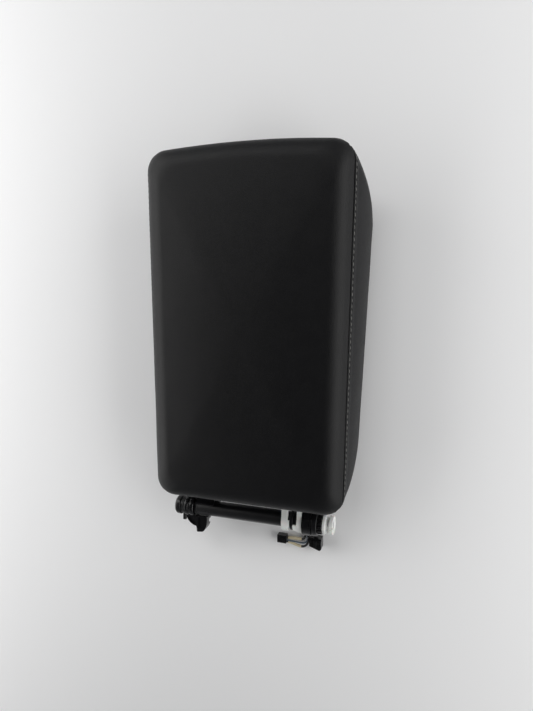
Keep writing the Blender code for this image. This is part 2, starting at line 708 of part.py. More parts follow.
def liner_screw_places():
    return [(side * LINER_SCREWS_X, y) for side in (-1, 1) for y in LINER_SCREWS_Y]


def bumper_places():
    return [(x, y) for x in (-BUMPER_X, BUMPER_X) for y in (-BUMPER_Y, BUMPER_Y)]


def catch_screw_places():
    return [(-CATCH_SCREWS_X, CATCH_Y), (CATCH_SCREWS_X, CATCH_Y)]


def screw_mesh(bite):
    """Pan head screw, head down, with its seat at the origin."""
    outline = [(-SCREW_HEAD_HEIGHT, 0.0), (-SCREW_HEAD_HEIGHT, SCREW_HEAD_FACE_RADIUS),
               (-SCREW_HEAD_EDGE, SCREW_HEAD_RADIUS), (0.0, SCREW_HEAD_RADIUS),
               (0.0, SCREW_RADIUS), (bite - SCREW_RADIUS, SCREW_RADIUS), (bite, 0.0)]
    return turned_mesh("screw", outline, (0.0, 0.0), "Z", 10)


def countersunk_mesh(bite):
    """Countersunk screw, head down, with the narrow end of its head at the origin."""
    outline = [(-COUNTERSINK_DEPTH, 0.0), (-COUNTERSINK_DEPTH, SCREW_HEAD_RADIUS),
               (0.0, SCREW_RADIUS), (bite - SCREW_RADIUS, SCREW_RADIUS), (bite, 0.0)]
    return turned_mesh("screw", outline, (0.0, 0.0), "Z", 10)


def add_screws(name, places, seat, mesh, pivot, finish):
    mesh.materials.append(make_material(name, finish))
    for number, (x, y) in enumerate(places):
        screw = add_object("%s_%d" % (name, number + 1), mesh, pivot)
        screw.location += Vector((x, y, seat))


def build_lid_fasteners(pivot):
    seat = -LINER_DEPTH + LINER_WALL / 2 - GAP
    mesh = screw_mesh(LINER_WALL / 2 + SCREW_BITE)
    add_screws("liner_screw", liner_screw_places(), seat, mesh, pivot, BLACK_STEEL)
    arm_places = [(x, y) for x in arm_middles() for y in ARM_SCREWS_Y]
    mesh = screw_mesh(ARM_THICKNESS + SCREW_BITE)
    add_screws("arm_screw", arm_places, ARM_BOTTOM - GAP, mesh, pivot, BRIGHT_STEEL)
    mesh = screw_mesh(CLIP_PLATE_THICKNESS + SCREW_BITE)
    add_screws("clip_screw", [(CLIP_MIDDLE, CLIP_SCREW_Y)], CLIP_PLATE_BOTTOM - GAP, mesh, pivot, BRIGHT_STEEL)
    seat = -LINER_DEPTH - GAP - CATCH_THICKNESS + GAP / 2 + COUNTERSINK_DEPTH
    mesh = countersunk_mesh(CATCH_SCREW_BITE)
    add_screws("catch_screw", catch_screw_places(), seat, mesh, pivot, BRIGHT_STEEL)


def build_bumpers(pivot):
    """Rubber bumpers pressed through the lower cover, on which the lid rests."""
    head_top = -LINER_DEPTH - GAP
    barb = LINER_FLOOR_TOP + GAP
    barb_top = barb + BUMPER_BARB_HEIGHT
    outline = [(-SEAM_HEIGHT, 0.0), (-SEAM_HEIGHT, BUMPER_RADIUS - BUMPER_EDGE),
               (-SEAM_HEIGHT + BUMPER_EDGE, BUMPER_RADIUS), (head_top, BUMPER_RADIUS),
               (head_top, BUMPER_STEM_RADIUS), (barb, BUMPER_STEM_RADIUS),
               (barb, BUMPER_BARB_RADII[0]), (barb_top, BUMPER_BARB_RADII[1]), (barb_top, 0.0)]
    mesh = turned_mesh("bumper", outline, (0.0, 0.0), "Z", 14)
    mesh.materials.append(make_material("bumper", SOFT_BLACK))
    for number, (x, y) in enumerate(bumper_places()):
        bumper = add_object("bumper_%d" % (number + 1), mesh, pivot)
        bumper.location += Vector((x, y, 0.0))


def build_catch_plate(pivot):
    top = -LINER_DEPTH - GAP
    low = (-CATCH_WIDTH / 2, CATCH_Y - CATCH_LENGTH / 2, top - CATCH_THICKNESS)
    high = (CATCH_WIDTH / 2, CATCH_Y + CATCH_LENGTH / 2, top)
    plate = add_object("catch_plate", box_mesh("catch_plate", low, high), pivot, BRIGHT_STEEL)
    cuts = []
    for number, (x, y) in enumerate(catch_screw_places()):
        face, sink = low[2] - OVERRUN, low[2] + GAP
        outline = [(face, 0.0), (face, SCREW_HEAD_RADIUS + GAP), (sink, SCREW_HEAD_RADIUS + GAP),
                   (sink + COUNTERSINK_DEPTH, SCREW_HOLE), (top + OVERRUN, SCREW_HOLE), (top + OVERRUN, 0.0)]
        mesh = turned_mesh("catch_hole", outline, (x, y), "Z", HOLE_STEPS)
        cuts.append(add_object("catch_hole_%d" % number, mesh, pivot))
    combine(plate, cuts, "DIFFERENCE")


# Hinge arms, on the lid


def screw_cuts(name, x, places, low, high, pivot):
    cuts = []
    for number, y in enumerate(places):
        outline = [(low, 0.0), (low, SCREW_HOLE), (high, SCREW_HOLE), (high, 0.0)]
        mesh = turned_mesh(name, outline, (x, y), "Z", HOLE_STEPS)
        cuts.append(add_object("%s_%d" % (name, number), mesh, pivot))
    return cuts


def build_left_arm(pivot):
    """Flat arm that ends in a saddle, to which the tube is fixed."""
    saddle = TUBE_RADIUS + GAP
    outside = saddle + SADDLE_WALL
    outline = [(ARM_FRONT_Y, ARM_TOP)]
    outline += [(AXIS_Y + outside + ARM_SHOULDER, ARM_TOP)]
    outline += hinge_arc(outside, SADDLE_BLEND_ARC[0], SADDLE_UPPER_LIP, 2)
    outline += hinge_arc(saddle, SADDLE_UPPER_LIP, SADDLE_LOWER_LIP, 12)
    outline += hinge_arc(outside, SADDLE_LOWER_LIP, SADDLE_BLEND_ARC[1], 3)
    outline += [(AXIS_Y + outside + ARM_SHOULDER, ARM_BOTTOM), (ARM_FRONT_Y, ARM_BOTTOM)]
    mesh = prism_mesh("hinge_arm_left", outline, "X", TUBE_LEFT, LEFT_ARM_SPAN[1])
    arm = add_object("hinge_arm_left", mesh, pivot, BLACK_STEEL)
    low = (LEFT_ARM_SPAN[0], AXIS_Y + CLAW_HUB_RADIUS + ARM_LAP, ARM_BOTTOM)
    high = (TUBE_LEFT + ARM_LAP, ARM_FRONT_Y, ARM_TOP)
    widening = add_object("left_arm_widening", box_mesh("widening", low, high), pivot)
    combine(arm, [widening], "UNION")
    cuts = screw_cuts("left_arm_hole", arm_middles()[0], ARM_SCREWS_Y,
                      ARM_BOTTOM - OVERRUN, ARM_TOP + OVERRUN, pivot)
    combine(arm, cuts, "DIFFERENCE")


def build_right_arm(pivot):
    """Flat arm that ends in a knuckle, bored for the bush and for the tube's end."""
    outline = [(ARM_FRONT_Y, ARM_TOP), (AXIS_Y + KNUCKLE_RADIUS + ARM_SHOULDER, ARM_TOP)]
    outline += hinge_arc(KNUCKLE_RADIUS, *KNUCKLE_ARC, 16)
    outline += [(AXIS_Y + KNUCKLE_RADIUS + ARM_SHOULDER, ARM_BOTTOM), (ARM_FRONT_Y, ARM_BOTTOM)]
    knuckle = prism_mesh("hinge_arm_right", outline, "X", *KNUCKLE_SPAN)
    arm = add_object("hinge_arm_right", knuckle, pivot, BLACK_STEEL)
    low = (KNUCKLE_SPAN[1] - ARM_LAP, AXIS_Y + KNUCKLE_RADIUS + ARM_LAP, ARM_BOTTOM)
    high = (RIGHT_ARM_SPAN[1], ARM_FRONT_Y, ARM_TOP)
    widening = add_object("right_arm_widening", box_mesh("widening", low, high), pivot)
    combine(arm, [widening], "UNION")
    bush_bore = RUNNING_BORE + KNUCKLE_BUSH_WALL + GAP
    tube_bore = TUBE_RADIUS + GAP
    step = KNUCKLE_SPAN[0] + TUBE_SOCKET_DEPTH
    low, high = KNUCKLE_SPAN[0] - OVERRUN, KNUCKLE_SPAN[1] + OVERRUN
    profile = [(low, 0.0), (low, tube_bore), (step, tube_bore), (step, bush_bore),
               (high, bush_bore), (high, 0.0)]
    bore = turned_mesh("right_arm_bore", profile, (AXIS_Y, AXIS_Z))
    cuts = [add_object("right_arm_bore", bore, pivot)]
    cuts += screw_cuts("right_arm_hole", arm_middles()[1], ARM_SCREWS_Y,
                       ARM_BOTTOM - OVERRUN, ARM_TOP + OVERRUN, pivot)
    combine(arm, cuts, "DIFFERENCE")
    bush = ring_profile((step + GAP, KNUCKLE_SPAN[1]), bush_bore - GAP, RUNNING_BORE, EDGE / 2)
    hinge_turned("knuckle_bush", bush, pivot, WHITE_NYLON)


def build_tube(pivot):
    """Spring tube with the collar that keeps the cable clip in place."""
    bore = TUBE_RADIUS - TUBE_WALL
    right = KNUCKLE_SPAN[0] + TUBE_SOCKET_DEPTH - GAP
    first, second = [TUBE_RADIUS + height for height in TUBE_COLLAR_HEIGHTS]
    collar_low = CLIP_SPAN[0] + CLIP_RING_WIDTHS[0] + CLIP_LUG_WIDTHS[0] + GAP
    collar_high = CLIP_SPAN[1] - CLIP_RING_WIDTHS[1] - GAP
    step = collar_high - CLIP_LUG_WIDTHS[1]
    profile = [(TUBE_LEFT, bore), (TUBE_LEFT, TUBE_RADIUS), (collar_low, TUBE_RADIUS),
               (collar_low, first), (step, first), (step, second), (collar_high, second),
               (collar_high, TUBE_RADIUS), (right, TUBE_RADIUS), (right, bore)]
    hinge_turned("spring_tube", profile, pivot, BLACK_PLASTIC)
    plug_radius = bore - GAP
    flange = (TUBE_LEFT - GAP - TUBE_BUSH_FLANGE, TUBE_LEFT - GAP)
    end = TUBE_LEFT + TUBE_BUSH_LENGTH
    profile = [(flange[0], RUNNING_BORE), (flange[0], TUBE_RADIUS), (flange[1], TUBE_RADIUS),
               (flange[1], plug_radius), (end, plug_radius), (end, RUNNING_BORE)]
    hinge_turned("tube_bush", profile, pivot, BLACK_PLASTIC)
    start = end + SPRING_LENGTH + 2 * GAP
    profile = ring_profile((start, start + SPRING_ANCHOR_LENGTH), plug_radius, RUNNING_BORE)
    hinge_turned("spring_anchor", profile, pivot, BLACK_STEEL)


def build_clip(pivot):
    """White clip: two hooked straps round the tube, on one plate under the lid."""
    inside = TUBE_RADIUS + GAP
    outside = inside + CLIP_WALL
    outline = [(CLIP_FRONT_Y, CLIP_PLATE_BOTTOM), (CLIP_FRONT_Y, CLIP_PLATE_TOP),
               (AXIS_Y + outside + CLIP_UPPER_BLEND, CLIP_PLATE_TOP)]
    outline += hinge_arc(outside, *CLIP_OUTER_ARC, 9)
    outline += hinge_arc(CLIP_FOOT_RADIUS, *CLIP_FOOT_ARC, 2)
    outline += hinge_arc(inside, *CLIP_INNER_ARC, 14)
    outline += [(AXIS_Y + outside + CLIP_LOWER_BLEND, CLIP_PLATE_BOTTOM)]
    low, high = CLIP_SPAN
    first = prism_mesh("cable_clip", outline, "X", low, low + CLIP_RING_WIDTHS[0])
    clip = add_object("cable_clip", first, pivot, WHITE_NYLON)
    second = prism_mesh("clip_strap", outline, "X", high - CLIP_RING_WIDTHS[1], high)
    bridge_low = (low + CLIP_BRIDGE_INSET, CLIP_FRONT_Y, CLIP_PLATE_BOTTOM)
    bridge_high = (high - CLIP_BRIDGE_INSET, AXIS_Y + outside + CLIP_BRIDGE_REACH, CLIP_PLATE_TOP)
    tools = [add_object("clip_strap", second, pivot),
             add_object("clip_bridge", box_mesh("bridge", bridge_low, bridge_high), pivot)]
    faces = (low + CLIP_RING_WIDTHS[0] - CLIP_LUG_LAP, high - CLIP_RING_WIDTHS[1] - CLIP_LUG_WIDTHS[1])
    radii = (inside + CLIP_LUG_INSET, TUBE_RADIUS + TUBE_COLLAR_HEIGHTS[1] + CLIP_LUG_INSET)
    for number, (start, end) in enumerate(CLIP_LUG_ANGLES):
        lug = hinge_arc(radii[number], start, end, 3) + hinge_arc(outside - CLIP_LUG_INSET, end, start, 3)
        face, width = faces[number], CLIP_LUG_WIDTHS[number] + CLIP_LUG_LAP
        tools.append(add_object("clip_lug_%d" % number, prism_mesh("lug", lug, "X", face, face + width), pivot))
    combine(clip, tools, "UNION")
    cuts = screw_cuts("clip_hole", CLIP_MIDDLE, (CLIP_SCREW_Y,),
                      CLIP_PLATE_BOTTOM - OVERRUN, CLIP_PLATE_TOP + OVERRUN, pivot)
    combine(clip, cuts, "DIFFERENCE")


def notch_tools(pivot):
    """Returns a maker of cutters for the notches that let the arms and the clip out."""
    spans = [(LEFT_ARM_SPAN[0] - NOTCH_CLEARANCE, LEFT_ARM_SPAN[1] + NOTCH_CLEARANCE),
             (CLIP_SPAN[0] - NOTCH_CLEARANCE, RIGHT_ARM_SPAN[1] + NOTCH_CLEARANCE)]

    def make(name):
        tools = []
        for number, (low_x, high_x) in enumerate(spans):
            low = (low_x, -PAD_LENGTH / 2 - NOTCH_OVERRUN, -LINER_DEPTH)
            high = (high_x, NOTCH_END_Y, NOTCH_TOP)
            tool = box_mesh(name, low, high)
            tools.append(add_object("%s_%d" % (name, number), tool, pivot))
        return tools

    return make


# Pieces on the shaft, which stay with the console


def build_shaft(pivot):
    low, high = SHAFT_SPAN
    profile = [(low, 0.0), (low, SHAFT_RADIUS - EDGE), (low + EDGE, SHAFT_RADIUS),
               (high - EDGE, SHAFT_RADIUS), (high, SHAFT_RADIUS - EDGE), (high, 0.0)]
    hinge_turned("hinge_shaft", profile, pivot, BRIGHT_STEEL)


def build_end_bush(pivot):
    """Stepped bush on the shaft's left end, with a flange and a locating peg."""
    low, high = END_BUSH_SPAN
    flange = low + FLANGE_WIDTH
    step = flange + GROOVE_WIDTH
    profile = [(low, RUNNING_BORE), (low, FLANGE_RADIUS - FLANGE_EDGE), (low + FLANGE_EDGE, FLANGE_RADIUS),
               (flange, FLANGE_RADIUS), (flange, GROOVE_RADIUS), (step, GROOVE_RADIUS),
               (step, BUSH_STEP_RADIUS), (high, BUSH_STEP_RADIUS), (high, RUNNING_BORE)]
    bush = hinge_turned("end_bush", profile, pivot, BLACK_PLASTIC)
    near, far = [AXIS_Y - reach for reach in PEG_REACHES]
    upper, lower = [AXIS_Z + rise for rise in PEG_RISES]
    peg = [(near, upper), (near, lower), (far, lower), (far, upper)]
    peg_mesh = prism_mesh("peg", peg, "X", step + PEG_SIDE_INSETS[0], high - PEG_SIDE_INSETS[1])
    combine(bush, [add_object("end_bush_peg", peg_mesh, pivot)], "UNION")


def build_claw(pivot):
    """Stop claw: a hub on the shaft with a curved plate that ends in a hooked jaw."""
    low, high = CLAW_SPAN
    profile = ring_profile(CLAW_SPAN, CLAW_HUB_RADIUS, RUNNING_BORE)
    groove = [low + along for along in CLAW_GROOVE_X]
    floor = CLAW_HUB_RADIUS - CLAW_GROOVE_DEPTH
    profile[3:3] = [(groove[0], CLAW_HUB_RADIUS), (groove[0], floor),
                    (groove[1], floor), (groove[1], CLAW_HUB_RADIUS)]
    claw = hinge_turned("stop_claw", profile, pivot, BLACK_STEEL)
    rear = AXIS_Y - CLAW_REACH
    clear = AXIS_Y - TUBE_RADIUS - CLAW_TUBE_CLEARANCE
    left_root, right_root = [AXIS_Y - root for root in CLAW_ROOTS]
    plate = [(low, left_root)]
    plate += arc((low + CLAW_BEND_RADIUS, left_root), CLAW_BEND_RADIUS, *CLAW_BEND_ARC, 6)
    plate += [(low + along, rear + up) for along, up in CLAW_JAW]
    plate += [(low + CLAW_JAW[-1][0], clear), (high + CLAW_ROOT_OVERLAP, clear), (high, right_root)]
    middle = AXIS_Z - CLAW_DROP
    plate_mesh = prism_mesh("claw_plate", plate, "Z", middle - CLAW_HEIGHT / 2, middle + CLAW_HEIGHT / 2)
    combine(claw, [add_object("claw_plate", plate_mesh, pivot)], "UNION")
    near, far = [AXIS_Y - reach for reach in CLAW_SLOT_REACHES]
    floor, roof = middle - CLAW_HEIGHT, middle - CLAW_SLOT_ROOF
    slot = [(near, floor), (near, roof), (far, roof), (far, floor)]
    slot_mesh = prism_mesh("claw_slot", slot, "X", *[low + along for along in CLAW_SLOT_X])
    start, end = low - OVERRUN, high + OVERRUN
    bore = [(start, 0.0), (start, RUNNING_BORE), (end, RUNNING_BORE), (end, 0.0)]
    bore_mesh = turned_mesh("claw_bore", bore, (AXIS_Y, AXIS_Z))
    cuts = [add_object("claw_slot", slot_mesh, pivot), add_object("claw_bore", bore_mesh, pivot)]
    combine(claw, cuts, "DIFFERENCE")


def build_right_stack(pivot):
    """Brake ring, toothed collar and nylon spool on the shaft's right end."""
    brake = ring_profile(BRAKE_SPAN, KNUCKLE_RADIUS - EDGE, RUNNING_BORE)
    hinge_turned("brake_ring", brake, pivot, BLACK_PLASTIC)
    outline = []
    for tooth in range(TOOTH_COUNT):
        start = 360.0 * tooth / TOOTH_COUNT
        step = 360.0 / TOOTH_COUNT
        rise, fall = [start + share * step for share in TOOTH_TIP_SHARES]
        outline += hinge_arc(TOOTH_ROOT_RADIUS, start, start + TOOTH_ROOT_SHARE * step, 1)
        outline += hinge_arc(TOOTH_TIP_RADIUS, rise, fall, 1)
    collar = add_object("toothed_collar", prism_mesh("toothed_collar", outline, "X", *TEETH_SPAN),
                        pivot, BLACK_PLASTIC)
    low, high = TEETH_SPAN[0] - OVERRUN, TEETH_SPAN[1] + OVERRUN
    bore = [(low, 0.0), (low, RUNNING_BORE), (high, RUNNING_BORE), (high, 0.0)]
    bore_mesh = turned_mesh("collar_bore", bore, (AXIS_Y, AXIS_Z))
    combine(collar, [add_object("collar_bore", bore_mesh, pivot)], "DIFFERENCE")
    low, high = SPOOL_SPAN
    neck_low, neck_high = low + SPOOL_DISC_WIDTHS[0], high - SPOOL_DISC_WIDTHS[1]
    profile = [(low, RUNNING_BORE), (low, SPOOL_RADIUS - EDGE), (low + EDGE, SPOOL_RADIUS),
               (neck_low, SPOOL_RADIUS), (neck_low, SPOOL_NECK_RADIUS),
               (neck_high, SPOOL_NECK_RADIUS), (neck_high, SPOOL_RADIUS),
               (high - EDGE, SPOOL_RADIUS), (high, SPOOL_RADIUS - EDGE), (high, RUNNING_BORE)]
    hinge_turned("nylon_spool", profile, pivot, WHITE_NYLON)


def build_spring(pivot):
    """Torsion spring round the shaft, inside the tube: a wire swept along a helix."""
    mean = (SHAFT_RADIUS + TUBE_RADIUS - TUBE_WALL) / 2
    start = TUBE_LEFT + TUBE_BUSH_LENGTH + GAP + SPRING_WIRE_RADIUS
    length = SPRING_LENGTH - 2 * SPRING_WIRE_RADIUS
    per_turn = 10
    total = SPRING_TURNS * per_turn
    curve = bpy.data.curves.new("torsion_spring", "CURVE")
    curve.dimensions = "3D"
    curve.bevel_depth = SPRING_WIRE_RADIUS
    curve.bevel_resolution = 0
    curve.use_fill_caps = True
    spline = curve.splines.new("POLY")
    spline.points.add(total)
    for k in range(total + 1):
        turn = 2 * pi * k / per_turn
        place = (start + length * k / total, AXIS_Y + mean * cos(turn), AXIS_Z + mean * sin(turn))
        spline.points[k].co = (*place, 1.0)
    add_object("torsion_spring", curve, pivot, BRIGHT_STEEL)


# Harness


def smooth_route(route, count):
    """Points evenly spread along a smooth curve through the route's own points."""
    ends = [2 * route[0] - route[1]] + route + [2 * route[-1] - route[-2]]
    fine = []
    for k in range(1, len(ends) - 2):
        a, b, c, d = ends[k - 1:k + 3]
        for step in range(20):
            t = step / 20
            fine.append(0.5 * (2 * b + (c - a) * t + (2 * a - 5 * b + 4 * c - d) * t ** 2
                               + (3 * b - a - 3 * c + d) * t ** 3))
    fine.append(route[-1])
    lengths = [0.0]
    for before, after in zip(fine, fine[1:]):
        lengths.append(lengths[-1] + (after - before).length)
    points = []
    for k in range(count):
        goal = lengths[-1] * k / (count - 1)
        near = max(i for i in range(len(lengths)) if lengths[i] <= goal + 1e-9)
        near = min(near, len(fine) - 2)
        share = (goal - lengths[near]) / (lengths[near + 1] - lengths[near])
        points.append(fine[near].lerp(fine[near + 1], share))
    return points


def add_lead(name, route, radius, count, pivot, finish):
    curve = bpy.data.curves.new(name, "CURVE")
    curve.dimensions = "3D"
    curve.bevel_depth = radius
    curve.bevel_resolution = 2
    curve.use_fill_caps = True
    points = smooth_route([from_hinge(point) for point in route], count)
    spline = curve.splines.new("POLY")
    spline.points.add(len(points) - 1)
    for place, point in zip(spline.points, points):
        place.co = (*point, 1.0)
    return add_object(name, curve, pivot, finish)


# Routes from the lid to the free ends: X in the pad's frame, Y and Z from the hinge line
MAIN_LEAD_ROUTE = [(0.0520, 0.0455, -0.0054), (0.0520, 0.0361, -0.0064), (0.0518, 0.0221, -0.0110),
                   (0.0515, 0.0061, -0.0160), (0.0512, -0.0079, -0.0200), (0.0510, -0.0169, -0.0212),
                   (0.0510, -0.0229, -0.0212)]
BRANCH_LEAD_ROUTE = [(0.0462, 0.0455, -0.0054), (0.0462, 0.0361, -0.0064), (0.0459, 0.0221, -0.0112),
                     (0.0454, 0.0081, -0.0160), (0.0447, -0.0039, -0.0198), (0.0443, -0.0107, -0.0214)]
UPPER_LEAD_ROUTE = [(0.0428, -0.0112, -0.0217), (0.0420, -0.0160, -0.0224), (0.0408, -0.0205, -0.0228),
                    (0.0403, -0.0240, -0.0228), (0.0396, -0.0266, -0.0228), (0.0376, -0.0282, -0.0228),
                    (0.0335, -0.0282, -0.0228), (0.0280, -0.0283, -0.0227), (0.0237, -0.0286, -0.0226)]
LOWER_LEAD_ROUTE = [(0.0458, -0.0112, -0.0217), (0.0450, -0.0160, -0.0224), (0.0438, -0.0205, -0.0228),
                    (0.0434, -0.0245, -0.0228), (0.0433, -0.0285, -0.0228), (0.0423, -0.0322, -0.0228),
                    (0.0400, -0.0345, -0.0228), (0.0371, -0.0353, -0.0228), (0.0330, -0.0347, -0.0228),
                    (0.0285, -0.0333, -0.0227), (0.0237, -0.0324, -0.0226)]
SMALL_PLUG_PLACE = (0.0191, -0.0298, -0.0226)
LARGE_PLUG_PLACE = (0.0507, -0.0285, -0.0212)


def from_hinge(place):
    return Vector((place[0], AXIS_Y + place[1], AXIS_Z + place[2]))


def build_harness(pivot):
    front = from_hinge(MAIN_LEAD_ROUTE[0]).y + GAP
    low = (RIGHT_ARM_SPAN[0] + GROMMET_INSET, front, GAP - skirt_depth(front))
    high = (RIGHT_ARM_SPAN[1] - GROMMET_INSET, front + GROMMET_LENGTH, ARM_BOTTOM - GAP)
    add_object("cable_grommet", box_mesh("cable_grommet", low, high, EDGE), pivot, SOFT_BLACK)
    add_lead("lead_main", MAIN_LEAD_ROUTE, LEAD_RADIUS, 14, pivot, SOFT_BLACK)
    add_lead("lead_branch", BRANCH_LEAD_ROUTE, LEAD_RADIUS, 12, pivot, SOFT_BLACK)
    add_lead("lead_cream_upper", UPPER_LEAD_ROUTE, THIN_LEAD_RADIUS, 16, pivot, CREAM_SLEEVE)
    add_lead("lead_cream_lower", LOWER_LEAD_ROUTE, THIN_LEAD_RADIUS, 19, pivot, CREAM_SLEEVE)
    middle, half = from_hinge(SMALL_PLUG_PLACE), Vector(SMALL_PLUG_SIZE) / 2
    add_object("plug_small", box_mesh("plug_small", middle - half, middle + half, EDGE), pivot, BLACK_PLASTIC)
    middle, half = from_hinge(LARGE_PLUG_PLACE), LARGE_PLUG_HEIGHT / 2
    outline = [(middle.x + x, middle.y + y) for x, y in reversed(LARGE_PLUG_OUTLINE)]
    mesh = prism_mesh("plug_large", outline, "Z", middle.z - half, middle.z + half, EDGE)
    add_object("plug_large", mesh, pivot, BLACK_PLASTIC)


def build():
    clear_scene()
    middle = (FRONT_REACH + REAR_REACH) / 2
    pad_frame = make_empty("pad_frame", (0.0, -middle, SEAM_HEIGHT))
    lid = make_empty("lid_pivot", (0.0, AXIS_Y, AXIS_Z), pad_frame)
    base = make_empty("hinge_base", (0.0, AXIS_Y, AXIS_Z), pad_frame)
    notches = notch_tools(lid)
    build_cover(lid, notches)
    build_foam(lid, notches)
    build_carrier(lid, notches)
    build_liner(lid)
    build_lid_fasteners(lid)
    build_bumpers(lid)
    build_catch_plate(lid)
    build_left_arm(lid)
    build_right_arm(lid)
    build_tube(lid)
    build_clip(lid)
    build_harness(lid)
    build_shaft(base)
    build_end_bush(base)
    build_claw(base)
    build_right_stack(base)
    build_spring(base)


build()
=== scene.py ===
"""Looks of the center console armrest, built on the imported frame.

The frame's own axes: X across the lid, +Y to its front edge, +Z out of its padded top.
Forms are drawn in the pad's frame, whose origin is the middle of the side seams.
"""

from math import cos, pi, radians, sin, tau

import bmesh
import bpy
import numpy as np
from mathutils import Matrix, Vector, noise


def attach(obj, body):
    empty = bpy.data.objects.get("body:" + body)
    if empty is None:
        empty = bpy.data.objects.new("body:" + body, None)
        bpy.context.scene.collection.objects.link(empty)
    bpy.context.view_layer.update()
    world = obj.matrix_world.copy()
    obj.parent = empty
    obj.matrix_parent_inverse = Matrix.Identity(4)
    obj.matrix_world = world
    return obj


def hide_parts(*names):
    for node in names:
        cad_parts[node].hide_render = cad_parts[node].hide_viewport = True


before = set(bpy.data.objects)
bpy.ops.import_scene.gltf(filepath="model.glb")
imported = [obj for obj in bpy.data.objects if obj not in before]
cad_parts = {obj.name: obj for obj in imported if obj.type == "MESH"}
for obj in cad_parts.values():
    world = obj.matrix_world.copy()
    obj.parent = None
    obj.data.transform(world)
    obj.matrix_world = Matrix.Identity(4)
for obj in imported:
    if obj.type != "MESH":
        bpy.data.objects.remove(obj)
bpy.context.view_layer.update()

PAD_ORIGIN = Vector((0.0, 0.0193, 0.05))
GAP = 0.0003
SAME_PLACE = 0.000004

# Outline at the level of the side seams
PAD_LENGTH = 0.2848
SEAM_HALF_WIDTH = 0.0825
SIDE_TAPER = 0.0105
FRONT_BOW = 0.0041
SEAM_CORNER_RADIUS = 0.015
SKIRT_CORNER_RADIUS = 0.028

# Section above the seams
SHOULDER_RADIUS = 0.02
SHOULDER_LEAN = radians(27)
SHOULDER_END = radians(85)
END_ROUNDING = 0.016
CROWN = 0.0029

# Skirt below the seams
SKIRT_DEPTH = 0.036
SKIRT_DEPTH_SLOPE = 0.028
SIDE_FLARE = 0.008
SIDE_FLARE_SLOPE = 0.022
FRONT_LEAN = 0.024
FRONT_SWEEP = 0.012
REAR_LEAN = 0.014
REAR_SWEEP = 0.024
HEM_WIDTH = 0.008
HEM_RADIUS = 0.0014
HEM_RINGS = (HEM_WIDTH, 0.006, 0.004, 0.0026)
HEM_TURNS = (0.0, 30.0, 60.0, 90.0)
SWEEP_SHARE = 0.96
BOW_LOSS = 0.4
CORNER_LOSS = 0.8
LEAST_CORNER = 0.004

# Leather and its seams
LEATHER = 0.0011
PANEL_GAP = 0.00034
SEAM_DEPTH = 0.0012
SEAM_SOFTNESS = 0.00042
STRIP_ROLL = 0.00022
STRIP_ROLL_PLACE = 0.0017
STRIP_ROLL_WIDTH = 0.0011
SIDE_ROLL = 0.00042
SIDE_ROLL_END = 0.0052
STITCH_INSET = 0.0021
STITCH_BED_WIDTH = 0.00055
STITCH_BED_DEPTH = 0.00026
STITCH_PITCH = 0.0044
STITCH_LENGTH = 0.0033
STITCH_RADIUS = 0.0003
STITCH_SLANT = radians(9)
PUCKER_REACH = 0.0046

# Hinge line
AXIS_Y = -0.1621
AXIS_Z = -0.024
SHAFT_RADIUS = 0.0035
BORE = SHAFT_RADIUS + GAP
TUBE_RADIUS = 0.0068
TUBE_BORE = 0.0056
TUBE_BUSH_RADIUS = 0.0053
COLLAR_RADIUS = 0.0086
COLLAR_STEP_RADIUS = 0.0075
SADDLE = TUBE_RADIUS + GAP
KNUCKLE_RADIUS = 0.0112
NOTCH_TOP = -0.0145
NOTCH_BOTTOM = -0.046
NOTCH_START = -0.155
NOTCH_END = -0.1044
NOTCH_SIDE = 0.001
ARM_TOP = AXIS_Z + 0.0025
ARM_BOTTOM = AXIS_Z - 0.0025
ARM_FRONT = AXIS_Y + 0.082

# Screws and bumpers: places in X and Y, or how far in front of the hinge line
SCREW_BORE = 0.0018
OVERRUN = 0.001
ARM_SCREW_REACHES = (0.065, 0.076)
CLIP_SCREW_REACH = 0.065
COVER_SCREWS = [(x, y) for x in (-0.058, 0.058) for y in (-0.07, 0.0, 0.074)]
CATCH_SCREWS = [(-0.016, 0.066), (0.016, 0.066)]
BUMPERS = [(x, y) for x in (-0.056, 0.056) for y in (-0.056, 0.056)]
COVER_FLOOR = -0.046
COVER_SCREW_SEAT = -0.0452
CATCH_SCREW_SEAT = -0.04645
CLIP_SCREW_SEAT = AXIS_Z + 0.0046
BUMPER_FOOT = -0.05
BUMPER_NECK = 0.003
CATCH_FACE = -0.0481
CATCH_BACK = -0.0463

# Where each hinge piece starts and ends along X
SHAFT_SPAN = (-0.0733, 0.0696)
END_BUSH_SPAN = (-0.0743, -0.0654)
CLAW_SPAN = (-0.0651, -0.0562)
TUBE_SPAN = (-0.0532, 0.0472)
TUBE_BUSH_SPAN = (-0.0559, -0.0452)
TUBE_BUSH_FLANGE_END = -0.0535
COLLAR_SPAN = (0.0336, 0.0396)
COLLAR_STEP = 0.0361
LEFT_ARM_SPAN = (-0.064, -0.0366)
CLIP_SPAN = (0.0265, 0.044)
CLIP_RINGS = (0.0053, 0.0041)
KNUCKLE_SPAN = (0.0445, 0.0522)
RIGHT_ARM_SPAN = (0.0445, 0.059)
BRAKE_SPAN = (0.0525, 0.057)
TEETH_SPAN = (0.0573, 0.0608)
SPOOL_SPAN = (0.0611, 0.0704)

CORNER_ANGLES = (0.0, 8.0, 16.0, 23.0, 29.0, 34.0, 38.0, 40.5, 42.2, 43.4, 44.1)
SIDE_STEPS = 80
END_STEPS = 48
